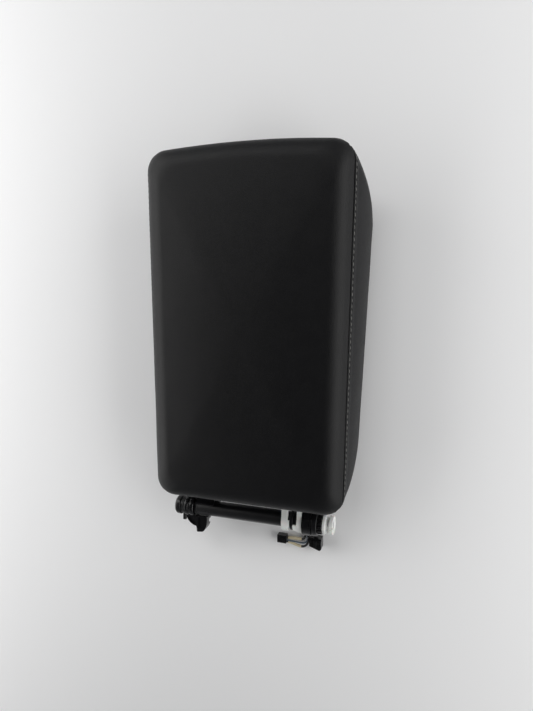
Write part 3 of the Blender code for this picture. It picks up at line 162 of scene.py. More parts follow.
# Distances from the seam, along the skirt and along the shoulder
SKIRT_RINGS = (0.0345, 0.032, 0.029, 0.026, 0.023, 0.02, 0.017, 0.0145, 0.012, 0.01, 0.0084, 0.007, 0.0059,
               0.005, 0.0043, 0.0037, 0.0032, 0.0028, 0.0025, 0.0023, 0.0021, 0.0019, 0.0017, 0.0015,
               0.0013, 0.0011, 0.0009, 0.0007, 0.0005, 0.00035, 0.00018, 0.0)
SHOULDER_RINGS = (0.0, 0.00018, 0.00035, 0.0005, 0.0007, 0.0009, 0.0011, 0.0013, 0.0016, 0.002, 0.0025, 0.0032,
                  0.0042, 0.0055, 0.007, 0.0085, 0.01, 0.0115, 0.013, 0.0145, 0.016, 0.0175, 0.019)
CROWN_SCALES = (0.985, 0.96, 0.92, 0.87, 0.8, 0.72, 0.63, 0.54, 0.45, 0.36, 0.27, 0.18, 0.1, 0.04)


# Materials


def feed(tree, made, inputs):
    """Links each input that is given as a socket, and sets the others to their value."""
    for name, value in inputs.items():
        if isinstance(value, bpy.types.NodeSocket):
            tree.links.new(value, made.inputs[name])
        else:
            made.inputs[name].default_value = value


def node(tree, kind, inputs=None, **settings):
    """Adds a node with its settings and inputs, and returns its outputs."""
    made = tree.nodes.new(kind)
    for name, value in settings.items():
        setattr(made, name, value)
    feed(tree, made, inputs or {})
    return made.outputs


def finish_material(name, colour, roughness, metallic=0.0, tone=0.12, tone_size=0.03, wear=0.06, grain=0.0,
                    grain_size=0.0006, grain_depth=0.00003, specular=0.5, soft=0.0):
    """A plain finish with uneven tone and roughness, and a fine grain as bumps."""
    material = bpy.data.materials.new(name)
    material.use_nodes = True
    tree = material.node_tree
    shader = tree.nodes["Principled BSDF"]
    place = node(tree, "ShaderNodeTexCoord")["Object"]
    cloud = node(tree, "ShaderNodeTexNoise", {"Scale": 1.0 / tone_size, "Detail": 4.0, "Vector": place})
    ramp = node(tree, "ShaderNodeMix", {"A": (*[c * (1.0 - tone) for c in colour], 1.0),
                                        "B": (*[min(1.0, c * (1.0 + tone)) for c in colour], 1.0),
                                        "Factor": cloud["Fac"]}, data_type="RGBA")
    streak = node(tree, "ShaderNodeTexNoise", {"Scale": 6.0 / tone_size, "Vector": place})
    span = node(tree, "ShaderNodeMapRange", {"To Min": roughness - wear, "To Max": roughness + wear,
                                             "Value": streak["Fac"]})
    feed(tree, shader, {"Metallic": metallic, "Specular IOR Level": specular, "Subsurface Weight": soft,
                        "Subsurface Scale": 0.002, "Base Color": ramp["Result"], "Roughness": span["Result"]})
    if grain:
        cells = node(tree, "ShaderNodeTexVoronoi", {"Scale": 1.0 / grain_size, "Vector": place},
                     feature="SMOOTH_F1")
        bump = node(tree, "ShaderNodeBump", {"Strength": grain, "Distance": grain_depth,
                                             "Height": cells["Distance"]})
        feed(tree, shader, {"Normal": bump["Normal"]})
    return material


def leather_material():
    """Black grained leather: rounded pebbles over fine creases, with puckers along the stitches."""
    material = finish_material("leather", (0.0027, 0.0027, 0.0034), 0.47, tone=0.1, tone_size=0.05, wear=0.04,
                               specular=0.27)
    tree = material.node_tree
    place = node(tree, "ShaderNodeTexCoord")["Object"]
    warp = node(tree, "ShaderNodeTexNoise", {"Scale": 700.0, "Detail": 2.0, "Vector": place})
    bend = node(tree, "ShaderNodeVectorMath", {0: warp["Color"], 1: (0.0006, 0.0006, 0.0006), 2: place},
                operation="MULTIPLY_ADD")
    pebbles = node(tree, "ShaderNodeTexVoronoi", {"Scale": 1150.0, "Vector": bend["Vector"]},
                   feature="DISTANCE_TO_EDGE")
    dome = node(tree, "ShaderNodeMapRange", {"From Max": 0.28, "Value": pebbles["Distance"]},
                interpolation_type="SMOOTHSTEP")
    grain = node(tree, "ShaderNodeBump", {"Strength": 0.55, "Distance": 0.00007, "Height": dome["Result"]})

    along = node(tree, "ShaderNodeAttribute", attribute_name="seam_place")
    part = node(tree, "ShaderNodeSeparateXYZ", {"Vector": along["Vector"]})
    turns = node(tree, "ShaderNodeMath", {0: part["X"], 1: tau / STITCH_PITCH}, operation="MULTIPLY")
    wave = node(tree, "ShaderNodeMath", {0: turns["Value"]}, operation="SINE")
    near = node(tree, "ShaderNodeMapRange", {"From Min": 0.0, "From Max": PUCKER_REACH, "To Min": 1.0,
                                             "To Max": 0.0, "Value": part["Y"]},
                interpolation_type="SMOOTHSTEP")
    pucker = node(tree, "ShaderNodeMath", {0: wave["Value"], 1: near["Result"]}, operation="MULTIPLY")
    gathers = node(tree, "ShaderNodeBump", {"Strength": 0.35, "Distance": 0.0002, "Height": pucker["Value"],
                                            "Normal": grain["Normal"]})
    feed(tree, tree.nodes["Principled BSDF"], {"Normal": gathers["Normal"]})
    return material


# Colour, roughness and what else sets each finish apart
FINISHES = {
    "thread": ((0.17, 0.17, 0.16), 0.65, dict(tone=0.25, tone_size=0.002, grain=0.6, grain_size=0.0003,
                                              grain_depth=0.00005)),
    "foam": ((0.62, 0.58, 0.46), 0.9, dict(grain=0.8, grain_size=0.0012, grain_depth=0.0002)),
    "black_plastic": ((0.006, 0.006, 0.007), 0.3, dict(grain=0.35, grain_size=0.0005)),
    "soft_plastic": ((0.016, 0.016, 0.017), 0.62, dict(grain=0.6, grain_size=0.0007, grain_depth=0.00006)),
    "tube_black": ((0.005, 0.005, 0.006), 0.3, dict(grain=0.2, grain_size=0.0009)),
    "black_steel": ((0.005, 0.005, 0.006), 0.22, dict(grain=0.2, grain_size=0.0008, specular=0.6)),
    "rubber": ((0.014, 0.014, 0.014), 0.75, dict(grain=0.4, grain_size=0.0008)),
    "bright_steel": ((0.52, 0.52, 0.54), 0.28, dict(metallic=1.0, grain=0.15, grain_depth=0.00002)),
    "nylon": ((0.8, 0.81, 0.79), 0.5, dict(tone=0.05, soft=0.06, grain=0.2, grain_size=0.0008,
                                             grain_depth=0.00002)),
    "cream": ((0.63, 0.55, 0.38), 0.6, dict(tone=0.1, tone_size=0.006, grain=0.5, grain_size=0.0005)),
    "wire_blue": ((0.09, 0.12, 0.16), 0.45, dict(tone=0.1, tone_size=0.006)),
    "tape": ((0.012, 0.012, 0.013), 0.5, dict(tone=0.2, tone_size=0.004, grain=0.6, grain_size=0.0009,
                                              grain_depth=0.00008)),
    "catch_steel": ((0.42, 0.42, 0.43), 0.42, dict(metallic=1.0, tone=0.15, grain=0.3, grain_size=0.001)),
    "floor": ((0.9, 0.9, 0.91), 0.75, dict(tone=0.01, tone_size=0.3, specular=0.2)),
}
MATERIALS = {"leather": leather_material()}
for name, (colour, roughness, rest) in FINISHES.items():
    MATERIALS[name] = finish_material(name, colour, roughness, **rest)


# Mesh helpers


def to_mesh(name, vertices, faces):
    mesh = bpy.data.meshes.new(name)
    mesh.from_pydata([tuple(v) for v in vertices], [], [tuple(f) for f in faces])
    mesh.validate()
    mesh.shade_smooth()
    return mesh


def linked(name, data):
    made = bpy.data.objects.new(name, data)
    bpy.context.collection.objects.link(made)
    return made


def dressed(piece, material, body, stands_for):
    """Gives a piece its material, its body and the nodes that it stands for."""
    if material:
        piece.data.materials.clear()
        piece.data.materials.append(MATERIALS[material])
    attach(piece, body)
    if stands_for:
        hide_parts(*stands_for)
    return piece


def settle(piece):
    """Makes what the modifiers show the piece's own plain mesh."""
    shown = bpy.context.evaluated_depsgraph_get()
    bpy.context.view_layer.update()
    mesh = bpy.data.meshes.new_from_object(piece.evaluated_get(shown), preserve_all_data_layers=True,
                                           depsgraph=shown)
    piece.modifiers.clear()
    piece.data = mesh
    return piece


def plain(outline):
    """An outline without its corner radii."""
    return [(a, b) for a, b, _ in outline]


def rounded(outline, steps=4):
    """A closed outline of (a, b, radius) corners as plain points, each corner rounded by its radius."""
    points = []
    count = len(outline)
    for k, (a, b, radius) in enumerate(outline):
        here = Vector((a, b))
        before = Vector(outline[k - 1][:2]) - here
        after = Vector(outline[(k + 1) % count][:2]) - here
        if radius <= 0.0:
            points.append((a, b))
            continue
        reach = min(radius, before.length * 0.49, after.length * 0.49)
        start, end = here + before.normalized() * reach, here + after.normalized() * reach
        for step in range(steps + 1):
            t = step / steps
            spot = start * (1 - t) ** 2 + here * 2 * t * (1 - t) + end * t ** 2
            points.append((spot.x, spot.y))
    return points


def turned(profile, centre=(AXIS_Y, AXIS_Z), axis="X", steps=96):
    """Spins a closed profile of (along, radius) points round a line along X or Z."""
    bm = bmesh.new()
    rings = []
    for along, radius in profile:
        if radius < 1e-7:
            spot = (along, *centre) if axis == "X" else (*centre, along)
            rings.append([bm.verts.new(spot)])
            continue
        ring = []
        for k in range(steps):
            a, b = radius * cos(tau * k / steps), radius * sin(tau * k / steps)
            if axis == "X":
                ring.append(bm.verts.new((along, centre[0] + a, centre[1] + b)))
            else:
                ring.append(bm.verts.new((centre[0] + a, centre[1] + b, along)))
        rings.append(ring)
    for first, second in zip(rings, rings[1:] + rings[:1]):
        for k in range(steps):
            after = (k + 1) % steps
            corners = [first[k % len(first)], first[after % len(first)],
                       second[after % len(second)], second[k % len(second)]]
            kept = [v for i, v in enumerate(corners) if v not in corners[:i]]
            if len(kept) > 2 and len(first) + len(second) > 2:
                bm.faces.new(kept)
    return bm


def prism(outline, across, low, high):
    """Extrudes a closed outline of (a, b) points along X (outline in Y and Z) or Z (in X and Y)."""
    bm = bmesh.new()
    if across == "X":
        base = [bm.verts.new((low, a, b)) for a, b in outline]
        step = Vector((high - low, 0.0, 0.0))
    else:
        base = [bm.verts.new((a, b, low)) for a, b in outline]
        step = Vector((0.0, 0.0, high - low))
    face = bm.faces.new(base)
    grown = bmesh.ops.extrude_face_region(bm, geom=[face])["geom"]
    bmesh.ops.translate(bm, vec=step, verts=[v for v in grown if isinstance(v, bmesh.types.BMVert)])
    return bm


def box(low, high):
    outline = [(low[0], low[1]), (high[0], low[1]), (high[0], high[1]), (low[0], high[1])]
    return prism(outline, "Z", low[2], high[2])


def drill(low, high, radius, centre=(AXIS_Y, AXIS_Z), axis="X", steps=96):
    """A round cutter between two places along its axis."""
    return turned([(low, 0.0), (low, radius), (high, radius), (high, 0.0)], centre, axis, steps)


def skin(bm, rings):
    """Faces between each closed ring of vertices and the next."""
    for first, second in zip(rings, rings[1:]):
        for corners in zip(first, first[1:] + first[:1], second[1:] + second[:1], second):
            bm.faces.new(corners)


def tube_along(points, radii, sides=20):
    """A closed tube whose radius changes along evenly spread points."""
    bm = bmesh.new()
    places = [Vector(p) - PAD_ORIGIN for p in points]
    turns = [tau * i / sides for i in range(sides)]
    rings = []
    for k, place in enumerate(places):
        ahead = (places[min(k + 1, len(places) - 1)] - places[max(k - 1, 0)]).normalized()
        across = ahead.cross(Vector((0.0, 0.0, 1.0))).normalized()
        up = across.cross(ahead)
        rings.append([bm.verts.new(place + radii[k] * (across * cos(t) + up * sin(t))) for t in turns])
    skin(bm, rings)
    bm.faces.new(rings[0][::-1])
    bm.faces.new(rings[-1])
    return bm


def tool_object(bm):
    bmesh.ops.recalc_face_normals(bm, faces=bm.faces)
    mesh = bpy.data.meshes.new("tool")
    bm.to_mesh(mesh)
    bm.free()
    return linked("tool", mesh)


def carved(piece, steps):
    """Adds or cuts each (operation, form) in turn, and keeps the plain mesh."""
    tools = []
    for operation, form in steps:
        tools.append(tool_object(form))
        modifier = piece.modifiers.new(operation, "BOOLEAN")
        modifier.object = tools[-1]
        modifier.operation = operation
        modifier.solver = "EXACT"
    settle(piece)
    for tool in tools:
        bpy.data.objects.remove(tool, do_unlink=True)


def formed(name, bm, bevel=0.0, add=(), cut=(), angle=32.0):
    """A hard form from a bmesh, with tools added and cut, then its edges broken."""
    piece = tool_object(bm)
    piece.name = name
    if add or cut:
        carved(piece, [("UNION", form) for form in add] + [("DIFFERENCE", form) for form in cut])
    clean = bmesh.new()
    clean.from_mesh(piece.data)
    bmesh.ops.remove_doubles(clean, verts=clean.verts, dist=SAME_PLACE)
    bmesh.ops.dissolve_degenerate(clean, edges=clean.edges, dist=SAME_PLACE)
    clean.to_mesh(piece.data)
    clean.free()
    piece.data.shade_smooth()
    if bevel:
        modifier = piece.modifiers.new("edges", "BEVEL")
        modifier.width = bevel
        modifier.segments = 3
        modifier.limit_method = "ANGLE"
        modifier.angle_limit = radians(angle)
        modifier.harden_normals = True
        settle(piece)
    else:
        piece.data.set_sharp_from_angle(angle=radians(angle))
    return piece


def solid(name, bm, material, body, slot_name, stands_for, **forming):
    """A hard piece drawn in the pad's frame, set into the row frame and on its body."""
    piece = formed(name, bm, **forming)
    piece.data.transform(Matrix.Translation(PAD_ORIGIN))
    return dressed(piece, material, body, stands_for)


# The pad's form


def skirt_depth(y):
    return SKIRT_DEPTH + SKIRT_DEPTH_SLOPE * y


def plan_loop(front, rear, half_width, radius, bow):
    """Anticlockwise outline as rows of (x, y) and the panel zone of each: 0 side, 1 end."""
    split = PANEL_GAP / SEAM_CORNER_RADIUS / 2 * 180 / pi
    angles = list(CORNER_ANGLES) + [45.0 - split]
    angles += [90.0 - angle for angle in reversed(angles)]
    front_centre, rear_centre = front - radius, rear + radius

    def corner(side, end, reverse):
        centre_y = front_centre if end > 0 else rear_centre
        centre_x = half_width(centre_y) - radius
        points = [(side * (centre_x + radius * cos(radians(a))), centre_y + end * radius * sin(radians(a)),
                   0 if a < 45.0 else 1) for a in angles]
        return points[::-1] if reverse else points

    def side_points(side, start, end):
        ys = [start + (end - start) * k / SIDE_STEPS for k in range(1, SIDE_STEPS)]
        return [(side * half_width(y), y, 0) for y in ys]

    def end_points(first, last):
        return [(first[0] + (last[0] - first[0]) * k / END_STEPS, first[1], 1) for k in range(1, END_STEPS)]

    front_right, front_left = corner(1, 1, False), corner(-1, 1, True)
    rear_left, rear_right = corner(-1, -1, False), corner(1, -1, True)
    loop = side_points(1, rear_centre, front_centre) + front_right
    loop += end_points(front_right[-1], front_left[0]) + front_left
    loop += side_points(-1, front_centre, rear_centre) + rear_left
    loop += end_points(rear_left[-1], rear_right[0]) + rear_right
    made = []
    for x, y, zone in loop:
        if y > front_centre:
            y += bow * (1 - (x / half_width(front_centre)) ** 2)
        made.append((x, y, zone))
    return made


def skirt_ring(level, inset=0.0, lift=0.0, extra=0.0):
    sweep = 1 - (1 - (SWEEP_SHARE * level) ** 3) ** 0.5
    front = PAD_LENGTH / 2 - FRONT_LEAN * level - FRONT_SWEEP * sweep - inset - extra
    rear = -PAD_LENGTH / 2 + REAR_LEAN * level + REAR_SWEEP * sweep + inset + extra
    flare = 1 - (1 - level) ** 2
    radius = SEAM_CORNER_RADIUS + (SKIRT_CORNER_RADIUS - SEAM_CORNER_RADIUS) * level
    radius = max(radius - CORNER_LOSS * (inset + extra), LEAST_CORNER)

    def half(y):
        wide = SEAM_HALF_WIDTH + SIDE_TAPER * y + (SIDE_FLARE + SIDE_FLARE_SLOPE * y) * flare
        return wide - inset - extra

    loop = plan_loop(front, rear, half, radius, FRONT_BOW * (1 - BOW_LOSS * level))
    return [(x, y, -PANEL_GAP / 2 - level * (skirt_depth(y) - lift), zone) for x, y, zone in loop]


def shoulder_ring(turn, inset=0.0, top_drop=0.0):
    angle = SHOULDER_LEAN + (SHOULDER_END - SHOULDER_LEAN) * turn
    ratio = (sin(angle) - sin(SHOULDER_LEAN)) / (1 - sin(SHOULDER_LEAN))
    side_in = SHOULDER_RADIUS * (cos(SHOULDER_LEAN) - cos(angle))
    side_in = inset + side_in * (1 - inset / (SHOULDER_RADIUS * cos(SHOULDER_LEAN)))
    end_in = inset + (END_ROUNDING - inset) * (1 - (1 - ratio ** 2) ** 0.5)
    radius = max(SEAM_CORNER_RADIUS - CORNER_LOSS * inset, LEAST_CORNER)

    def half(y):
        return SEAM_HALF_WIDTH + SIDE_TAPER * y - side_in

    loop = plan_loop(PAD_LENGTH / 2 - end_in, -PAD_LENGTH / 2 + end_in, half, radius, FRONT_BOW)
    height = (SHOULDER_RADIUS * (1 - sin(SHOULDER_LEAN)) - top_drop) * ratio + PANEL_GAP / 2
    return [(x, y, height, zone) for x, y, zone in loop]


def crown_ring(scale, inset=0.0, top_drop=0.0):
    base = shoulder_ring(1.0, inset, top_drop)
    rise = base[0][2] + CROWN * (1 - scale ** 2)
    return [(x * scale, y * scale, rise, zone) for x, y, _, zone in base]


def form_rows(inset=0.0, top_drop=0.0, with_hem=True):
    """Every ring of the pad's outside from the hem to the crown, and the row where the strip starts."""
    rows = []
    if with_hem:
        rows = [skirt_ring(1.0, inset, 0.0, extra) for extra in HEM_RINGS]
        for degrees in HEM_TURNS:
            lift = HEM_RADIUS * (1 - cos(radians(degrees)))
            rows.append(skirt_ring(1.0, inset, lift, HEM_RADIUS * (1 - sin(radians(degrees)))))
    rows += [skirt_ring(distance / SKIRT_DEPTH, inset) for distance in SKIRT_RINGS]
    first = len(rows)
    arc = SHOULDER_RADIUS * (SHOULDER_END - SHOULDER_LEAN)
    rows += [shoulder_ring(distance / arc, inset, top_drop) for distance in SHOULDER_RINGS]
    rows.append(shoulder_ring(1.0, inset, top_drop))
    rows += [crown_ring(scale, inset, top_drop) for scale in CROWN_SCALES]
    return rows, first


def form_normals(points):
    along = np.roll(points, -1, axis=1) - np.roll(points, 1, axis=1)
    up = np.empty_like(points)
    up[1:-1] = points[2:] - points[:-2]
    up[0], up[-1] = points[1] - points[0], points[-1] - points[-2]
    normal = np.cross(along, up)
    return normal / np.maximum(np.linalg.norm(normal, axis=2, keepdims=True), 1e-12)


def seam_measures(points, zones, first):
    """For each point: its distance from the side seam and the corner seam, and its place round the row."""
    rows, count = zones.shape
    steps = np.linalg.norm(points[1:] - points[:-1], axis=2)
    climb = np.vstack([np.zeros(count), np.cumsum(steps, axis=0)])
    up = np.abs(climb - climb[first])
    around = np.linalg.norm(np.roll(points, -1, axis=1) - points, axis=2)
    seams = [k for k in range(count) if zones[0, k] != zones[0, (k + 1) % count]]
    place = np.concatenate([np.zeros((rows, 1)), np.cumsum(around, axis=1)], axis=1)
    total = place[:, -1:]
    place = place[:, :-1]
    beside = np.full((rows, count), 9.0)
    for k in seams:
        middle = (place[:, k] + around[:, k] / 2)[:, None]
        gap = np.abs(place - middle)
        beside = np.minimum(beside, np.minimum(gap, total - gap))
    return up, beside, place


def bump_at(distance, centre, width, height):
    return height * np.exp(-((distance - centre) / width) ** 2)


def strip_profile(d):
    inward = SEAM_DEPTH * np.exp(-(d / SEAM_SOFTNESS) ** 1.4)
    return inward - bump_at(d, STRIP_ROLL_PLACE, STRIP_ROLL_WIDTH, STRIP_ROLL)


def side_profile(d):
    inward = SEAM_DEPTH * np.exp(-(d / SEAM_SOFTNESS) ** 1.4)
    allowance = SIDE_ROLL / (1 + np.exp((d - SIDE_ROLL_END) / 0.0006)) * (1 - np.exp(-(d / 0.0008) ** 2))
    return inward - allowance + bump_at(d, STITCH_INSET, STITCH_BED_WIDTH, STITCH_BED_DEPTH)


rows, SEAM_ROW = form_rows()
BASE = np.array([[(x, y, z) for x, y, z, _ in ring] for ring in rows])
ZONES = np.array([[zone for _, _, _, zone in ring] for ring in rows])
OUTWARD = form_normals(BASE)
UP, BESIDE, ALONG = seam_measures(BASE, ZONES, SEAM_ROW)


def soft_waves(points, size, height):
    """Slow, low unevenness of a stuffed cover."""
    flat = points.reshape(-1, 3)
    values = [noise.noise(Vector(p) / size) + 0.5 * noise.noise(Vector(p) / size * 2.1) for p in flat]
    return np.array(values).reshape(points.shape[:2]) * height


WAVES = soft_waves(BASE, size=0.042, height=0.00016)


def panel_surface(strip):
    """The outside of the strip or of the side panels, pressed in at the seams."""
    above = np.arange(len(BASE))[:, None] >= SEAM_ROW
    if strip:
        reach = np.where(ZONES == 1, np.hypot(UP, BESIDE), UP)
        reach = np.where(above, reach, BESIDE)
        inward = strip_profile(reach)
    else:
        reach = np.minimum(UP, BESIDE)
        inward = side_profile(reach)
    return BASE - OUTWARD * (inward - WAVES)[:, :, None], reach


def leather_panel(name, keep, strip, cap, node_name):
    """One leather panel: the kept cells of the form, thickened inwards."""
    surface, reach = panel_surface(strip)
    surface = surface + np.array(PAD_ORIGIN)
    row_count, count = ZONES.shape
    index, vertices, seam_place, faces = {}, [], [], []

    def vertex(row, column):
        key = (row, column % count)
        if key not in index:
            index[key] = len(vertices)
            vertices.append(surface[key])
            seam_place.append((ALONG[key], reach[key], 0.0))
        return index[key]

    for row in range(row_count - 1):
        for column in range(count):
            after = (column + 1) % count
            if keep(row, ZONES[row, column], ZONES[row, after], BASE[row, column, 0]):
                faces.append([vertex(row, column), vertex(row, column + 1),
                              vertex(row + 1, column + 1), vertex(row + 1, column)])
    if cap:
        faces.append([vertex(row_count - 1, column) for column in range(count)])
    mesh = to_mesh(name, vertices, faces)
    places = mesh.attributes.new("seam_place", "FLOAT_VECTOR", "POINT")
    places.data.foreach_set("vector", np.array(seam_place, np.float32).ravel())
    piece = dressed(linked(name, mesh), "leather", "lid", [node_name])
    thick = piece.modifiers.new("thickness", "SOLIDIFY")
    thick.thickness = LEATHER
    thick.offset = -1.0
    return settle(piece)


def cut_notches(piece):
    """Opens the rear wall for the hinge arms and the clip."""
    for low, high in (LEFT_ARM_SPAN, (CLIP_SPAN[0], RIGHT_ARM_SPAN[1])):
        part = box((low - NOTCH_SIDE, NOTCH_START, NOTCH_BOTTOM), (high + NOTCH_SIDE, NOTCH_END, NOTCH_TOP))
        bmesh.ops.translate(part, vec=PAD_ORIGIN, verts=part.verts)
        carved(piece, [("DIFFERENCE", part)])


strip = leather_panel("cover_top", lambda row, a, b, x: row >= SEAM_ROW or (a == 1 and b == 1), True, True,
                      "cover_top_panel")
cut_notches(strip)
for side, sign in (("right", 1), ("left", -1)):
    def in_side(row, a, b, x, sign=sign):
        return row < SEAM_ROW - 1 and a == 0 and b == 0 and x * sign > 0
    leather_panel("cover_side_" + side, in_side, False, False, "cover_side_panel_" + side)


def foam_block():
    """Moulded foam under the leather, a shell between two offsets of the same form."""
    inset, side_thickness, top_thickness = 0.0015, 0.0035, 0.006
    outer, _ = form_rows(inset, inset, False)
    inner, _ = form_rows(inset + side_thickness, inset + top_thickness, False)
    skip = 3
    outer, inner = outer[skip:], inner[skip:]
    count = len(outer[0])
    vertices = [(x, y, z) for ring in outer + inner for x, y, z, _ in ring]
    vertices = [Vector(v) + PAD_ORIGIN for v in vertices]
    size = len(outer) * count
    faces = []
    for row in range(len(outer) - 1):
        for k in range(count):
            after = (k + 1) % count
            quad = [row * count + k, row * count + after, (row + 1) * count + after, (row + 1) * count + k]
            faces.append(quad)
            faces.append([size + v for v in reversed(quad)])
    top = (len(outer) - 1) * count
    faces.append([top + k for k in range(count)])
    faces.append([size + top + k for k in reversed(range(count))])
    faces += [[k, size + k, size + (k + 1) % count, (k + 1) % count] for k in range(count)]
    foam = dressed(linked("foam", to_mesh("foam", vertices, faces)), "foam", "lid", ["foam_pad"])
    cut_notches(foam)
    return foam


foam_block()


# Stitches


def seam_paths(sign):
    """The stitch line of one side: up the rear corner seam, along the side seam, down the front one."""
    surface, _ = panel_surface(False)
    surface = surface + np.array(PAD_ORIGIN)
    count = ZONES.shape[1]
    columns = [k for k in range(count) if ZONES[0, k] == 0 and BASE[0, k, 0] * sign > 0]
    if sign > 0:
        start = next(i for i, k in enumerate(columns) if (k - 1) % count not in columns)
        columns = columns[start:] + columns[:start]
    hem_row = len(HEM_RINGS) + len(HEM_TURNS)

    def on_row(row, reverse):
        """The point of a row at the stitch line's distance from the corner seam."""
        order = columns[::-1] if reverse else columns
        gaps = [BESIDE[row, k] for k in order]
        i = next(i for i in range(len(order)) if gaps[i] >= STITCH_INSET)
        share = (STITCH_INSET - gaps[i - 1]) / (gaps[i] - gaps[i - 1]) if i else 0.0
        first, second = order[max(i - 1, 0)], order[i]
        return (surface[row, first] * (1 - share) + surface[row, second] * share,
                OUTWARD[row, first] * (1 - share) + OUTWARD[row, second] * share)

    def on_column(k):
        i = next(i for i in range(SEAM_ROW - 1, 0, -1) if UP[i, k] >= STITCH_INSET)
        share = (STITCH_INSET - UP[i + 1, k]) / (UP[i, k] - UP[i + 1, k])
        return (surface[i + 1, k] * (1 - share) + surface[i, k] * share,
                OUTWARD[i + 1, k] * (1 - share) + OUTWARD[i, k] * share)

    corner_gap = STITCH_INSET * 1.6
    rise = [row for row in range(hem_row, SEAM_ROW) if UP[row, columns[0]] >= corner_gap]
    middle = [k for k in columns if BESIDE[SEAM_ROW, k] >= corner_gap]
    line = [on_row(row, False) for row in rise]
    line += [on_column(k) for k in middle]
    line += [on_row(row, True) for row in reversed(rise)]
    return line


def stitch_mesh():
    """One stitch: a short thread with its ends drawn into the leather. X runs along it, Z outwards."""
    vertices, faces = [], []
    sections, sides = 9, 8
    for i in range(sections):
        t = i / (sections - 1) * 2 - 1
        radius = STITCH_RADIUS * (1 - 0.55 * t ** 4)
        x = t * STITCH_LENGTH / 2
        height = STITCH_RADIUS * 0.55 - 0.00045 * t ** 4
        for k in range(sides):
            turn = tau * k / sides
            vertices.append((x, radius * cos(turn), height + radius * 0.85 * sin(turn)))
    for i in range(sections - 1):
        for k in range(sides):
            after = (k + 1) % sides
            faces.append([i * sides + k, (i + 1) * sides + k, (i + 1) * sides + after, i * sides + after])
    faces.append([k for k in range(sides)])
    faces.append([(sections - 1) * sides + k for k in reversed(range(sides))])
    return to_mesh("stitch", vertices, faces)


def copies_group(name, numbers):
    """Starts a node group that takes a form, its numbers and its material, and returns what it is given."""
    group = bpy.data.node_groups.new(name, "GeometryNodeTree")
    sockets = [("Geometry", "Geometry"), ("Form", "Object")] + [(label, "Float") for label in numbers]
    for label, kind in sockets + [("Material", "Material")]:
        group.interface.new_socket(label, in_out="INPUT", socket_type="NodeSocket" + kind)
    group.interface.new_socket("Geometry", in_out="OUTPUT", socket_type="NodeSocketGeometry")
    return group, node(group, "NodeGroupInput")


def end_copies(group, given, points, rotation):
    """Sets the form on every point, makes the copies real and gives them their material."""
    form = node(group, "GeometryNodeObjectInfo", {"Object": given["Form"]})
    copies = node(group, "GeometryNodeInstanceOnPoints", {"Points": points, "Instance": form["Geometry"],
                                                          "Rotation": rotation})
    real = node(group, "GeometryNodeRealizeInstances", {"Geometry": copies["Instances"]})
    paint = node(group, "GeometryNodeSetMaterial", {"Geometry": real["Geometry"],
                                                    "Material": given["Material"]})
    node(group, "NodeGroupOutput", {"Geometry": paint["Geometry"]})
    return group


def stitch_nodes():
    """Spreads one stitch evenly along a line whose points know which way is out."""
    group, given = copies_group("stitch_row", ("Pitch", "Slant"))
    line = node(group, "GeometryNodeMeshToCurve", {"Mesh": given["Geometry"]})
    spread = node(group, "GeometryNodeResampleCurve", {"Curve": line["Curve"], "Length": given["Pitch"]},
                  mode="LENGTH")
    outward = node(group, "GeometryNodeInputNamedAttribute", {"Name": "outward"}, data_type="FLOAT_VECTOR")
    tangent = node(group, "GeometryNodeInputTangent")
    stand = node(group, "FunctionNodeAlignRotationToVector", {"Vector": outward["Attribute"]}, axis="Z")
    follow = node(group, "FunctionNodeAlignRotationToVector", {"Rotation": stand["Rotation"],
                                                              "Vector": tangent["Tangent"]},
                  axis="X", pivot_axis="Z")
    tilt = node(group, "FunctionNodeAxisAngleToRotation", {"Axis": (0.0, 0.0, 1.0), "Angle": given["Slant"]})
    lean = node(group, "FunctionNodeRotateRotation", {"Rotation": follow["Rotation"],
                                                      "Rotate By": tilt["Rotation"]}, rotation_space="LOCAL")
    return end_copies(group, given, spread["Curve"], lean["Rotation"])


def turned_copies():
    """Sets one form on every point of a mesh, each turned further about Z than the one before."""
    group, given = copies_group("copies", ("Turn",))
    number = node(group, "GeometryNodeInputIndex")
    amount = node(group, "ShaderNodeMath", {0: number["Index"], 1: given["Turn"]}, operation="MULTIPLY")
    spin = node(group, "ShaderNodeCombineXYZ", {"Z": amount["Value"]})
    return end_copies(group, given, given["Geometry"], spin["Vector"])


def copied(piece, nodes, inputs):
    """Runs a node group on a piece with its inputs given by label, and keeps the plain mesh."""
    modifier = piece.modifiers.new("copies", "NODES")
    modifier.node_group = nodes
    for item in nodes.interface.items_tree:
        if item.item_type == "SOCKET" and item.in_out == "INPUT" and item.name in inputs:
            modifier[item.identifier] = inputs[item.name]
    return settle(piece)


def stitch_rows():
    single = linked("stitch", stitch_mesh())
    nodes = stitch_nodes()
    for side, sign in (("right", 1), ("left", -1)):
        line = seam_paths(sign)
        mesh = bpy.data.meshes.new("stitches_" + side)
        mesh.from_pydata([tuple(p) for p, _ in line], [(k, k + 1) for k in range(len(line) - 1)], [])
        outward = mesh.attributes.new("outward", "FLOAT_VECTOR", "POINT")
        outward.data.foreach_set("vector", np.array([tuple(n) for _, n in line], np.float32).ravel())
        row = copied(linked("stitches_" + side, mesh), nodes, {"Form": single, "Pitch": STITCH_PITCH,
                                                               "Slant": STITCH_SLANT,
                                                               "Material": MATERIALS["thread"]})
        row.data.shade_smooth()
        dressed(row, None, "lid", ())
    bpy.data.objects.remove(single, do_unlink=True)


stitch_rows()


# Hinge pieces


def arc(radius, start, end, steps):
    """Arc about the hinge line, 0 degrees to the front and 90 upwards, as sharp outline corners."""
    angles = [radians(start + (end - start) * k / steps) for k in range(steps + 1)]
    return [(AXIS_Y + radius * cos(a), AXIS_Z + radius * sin(a), 0.0) for a in angles]


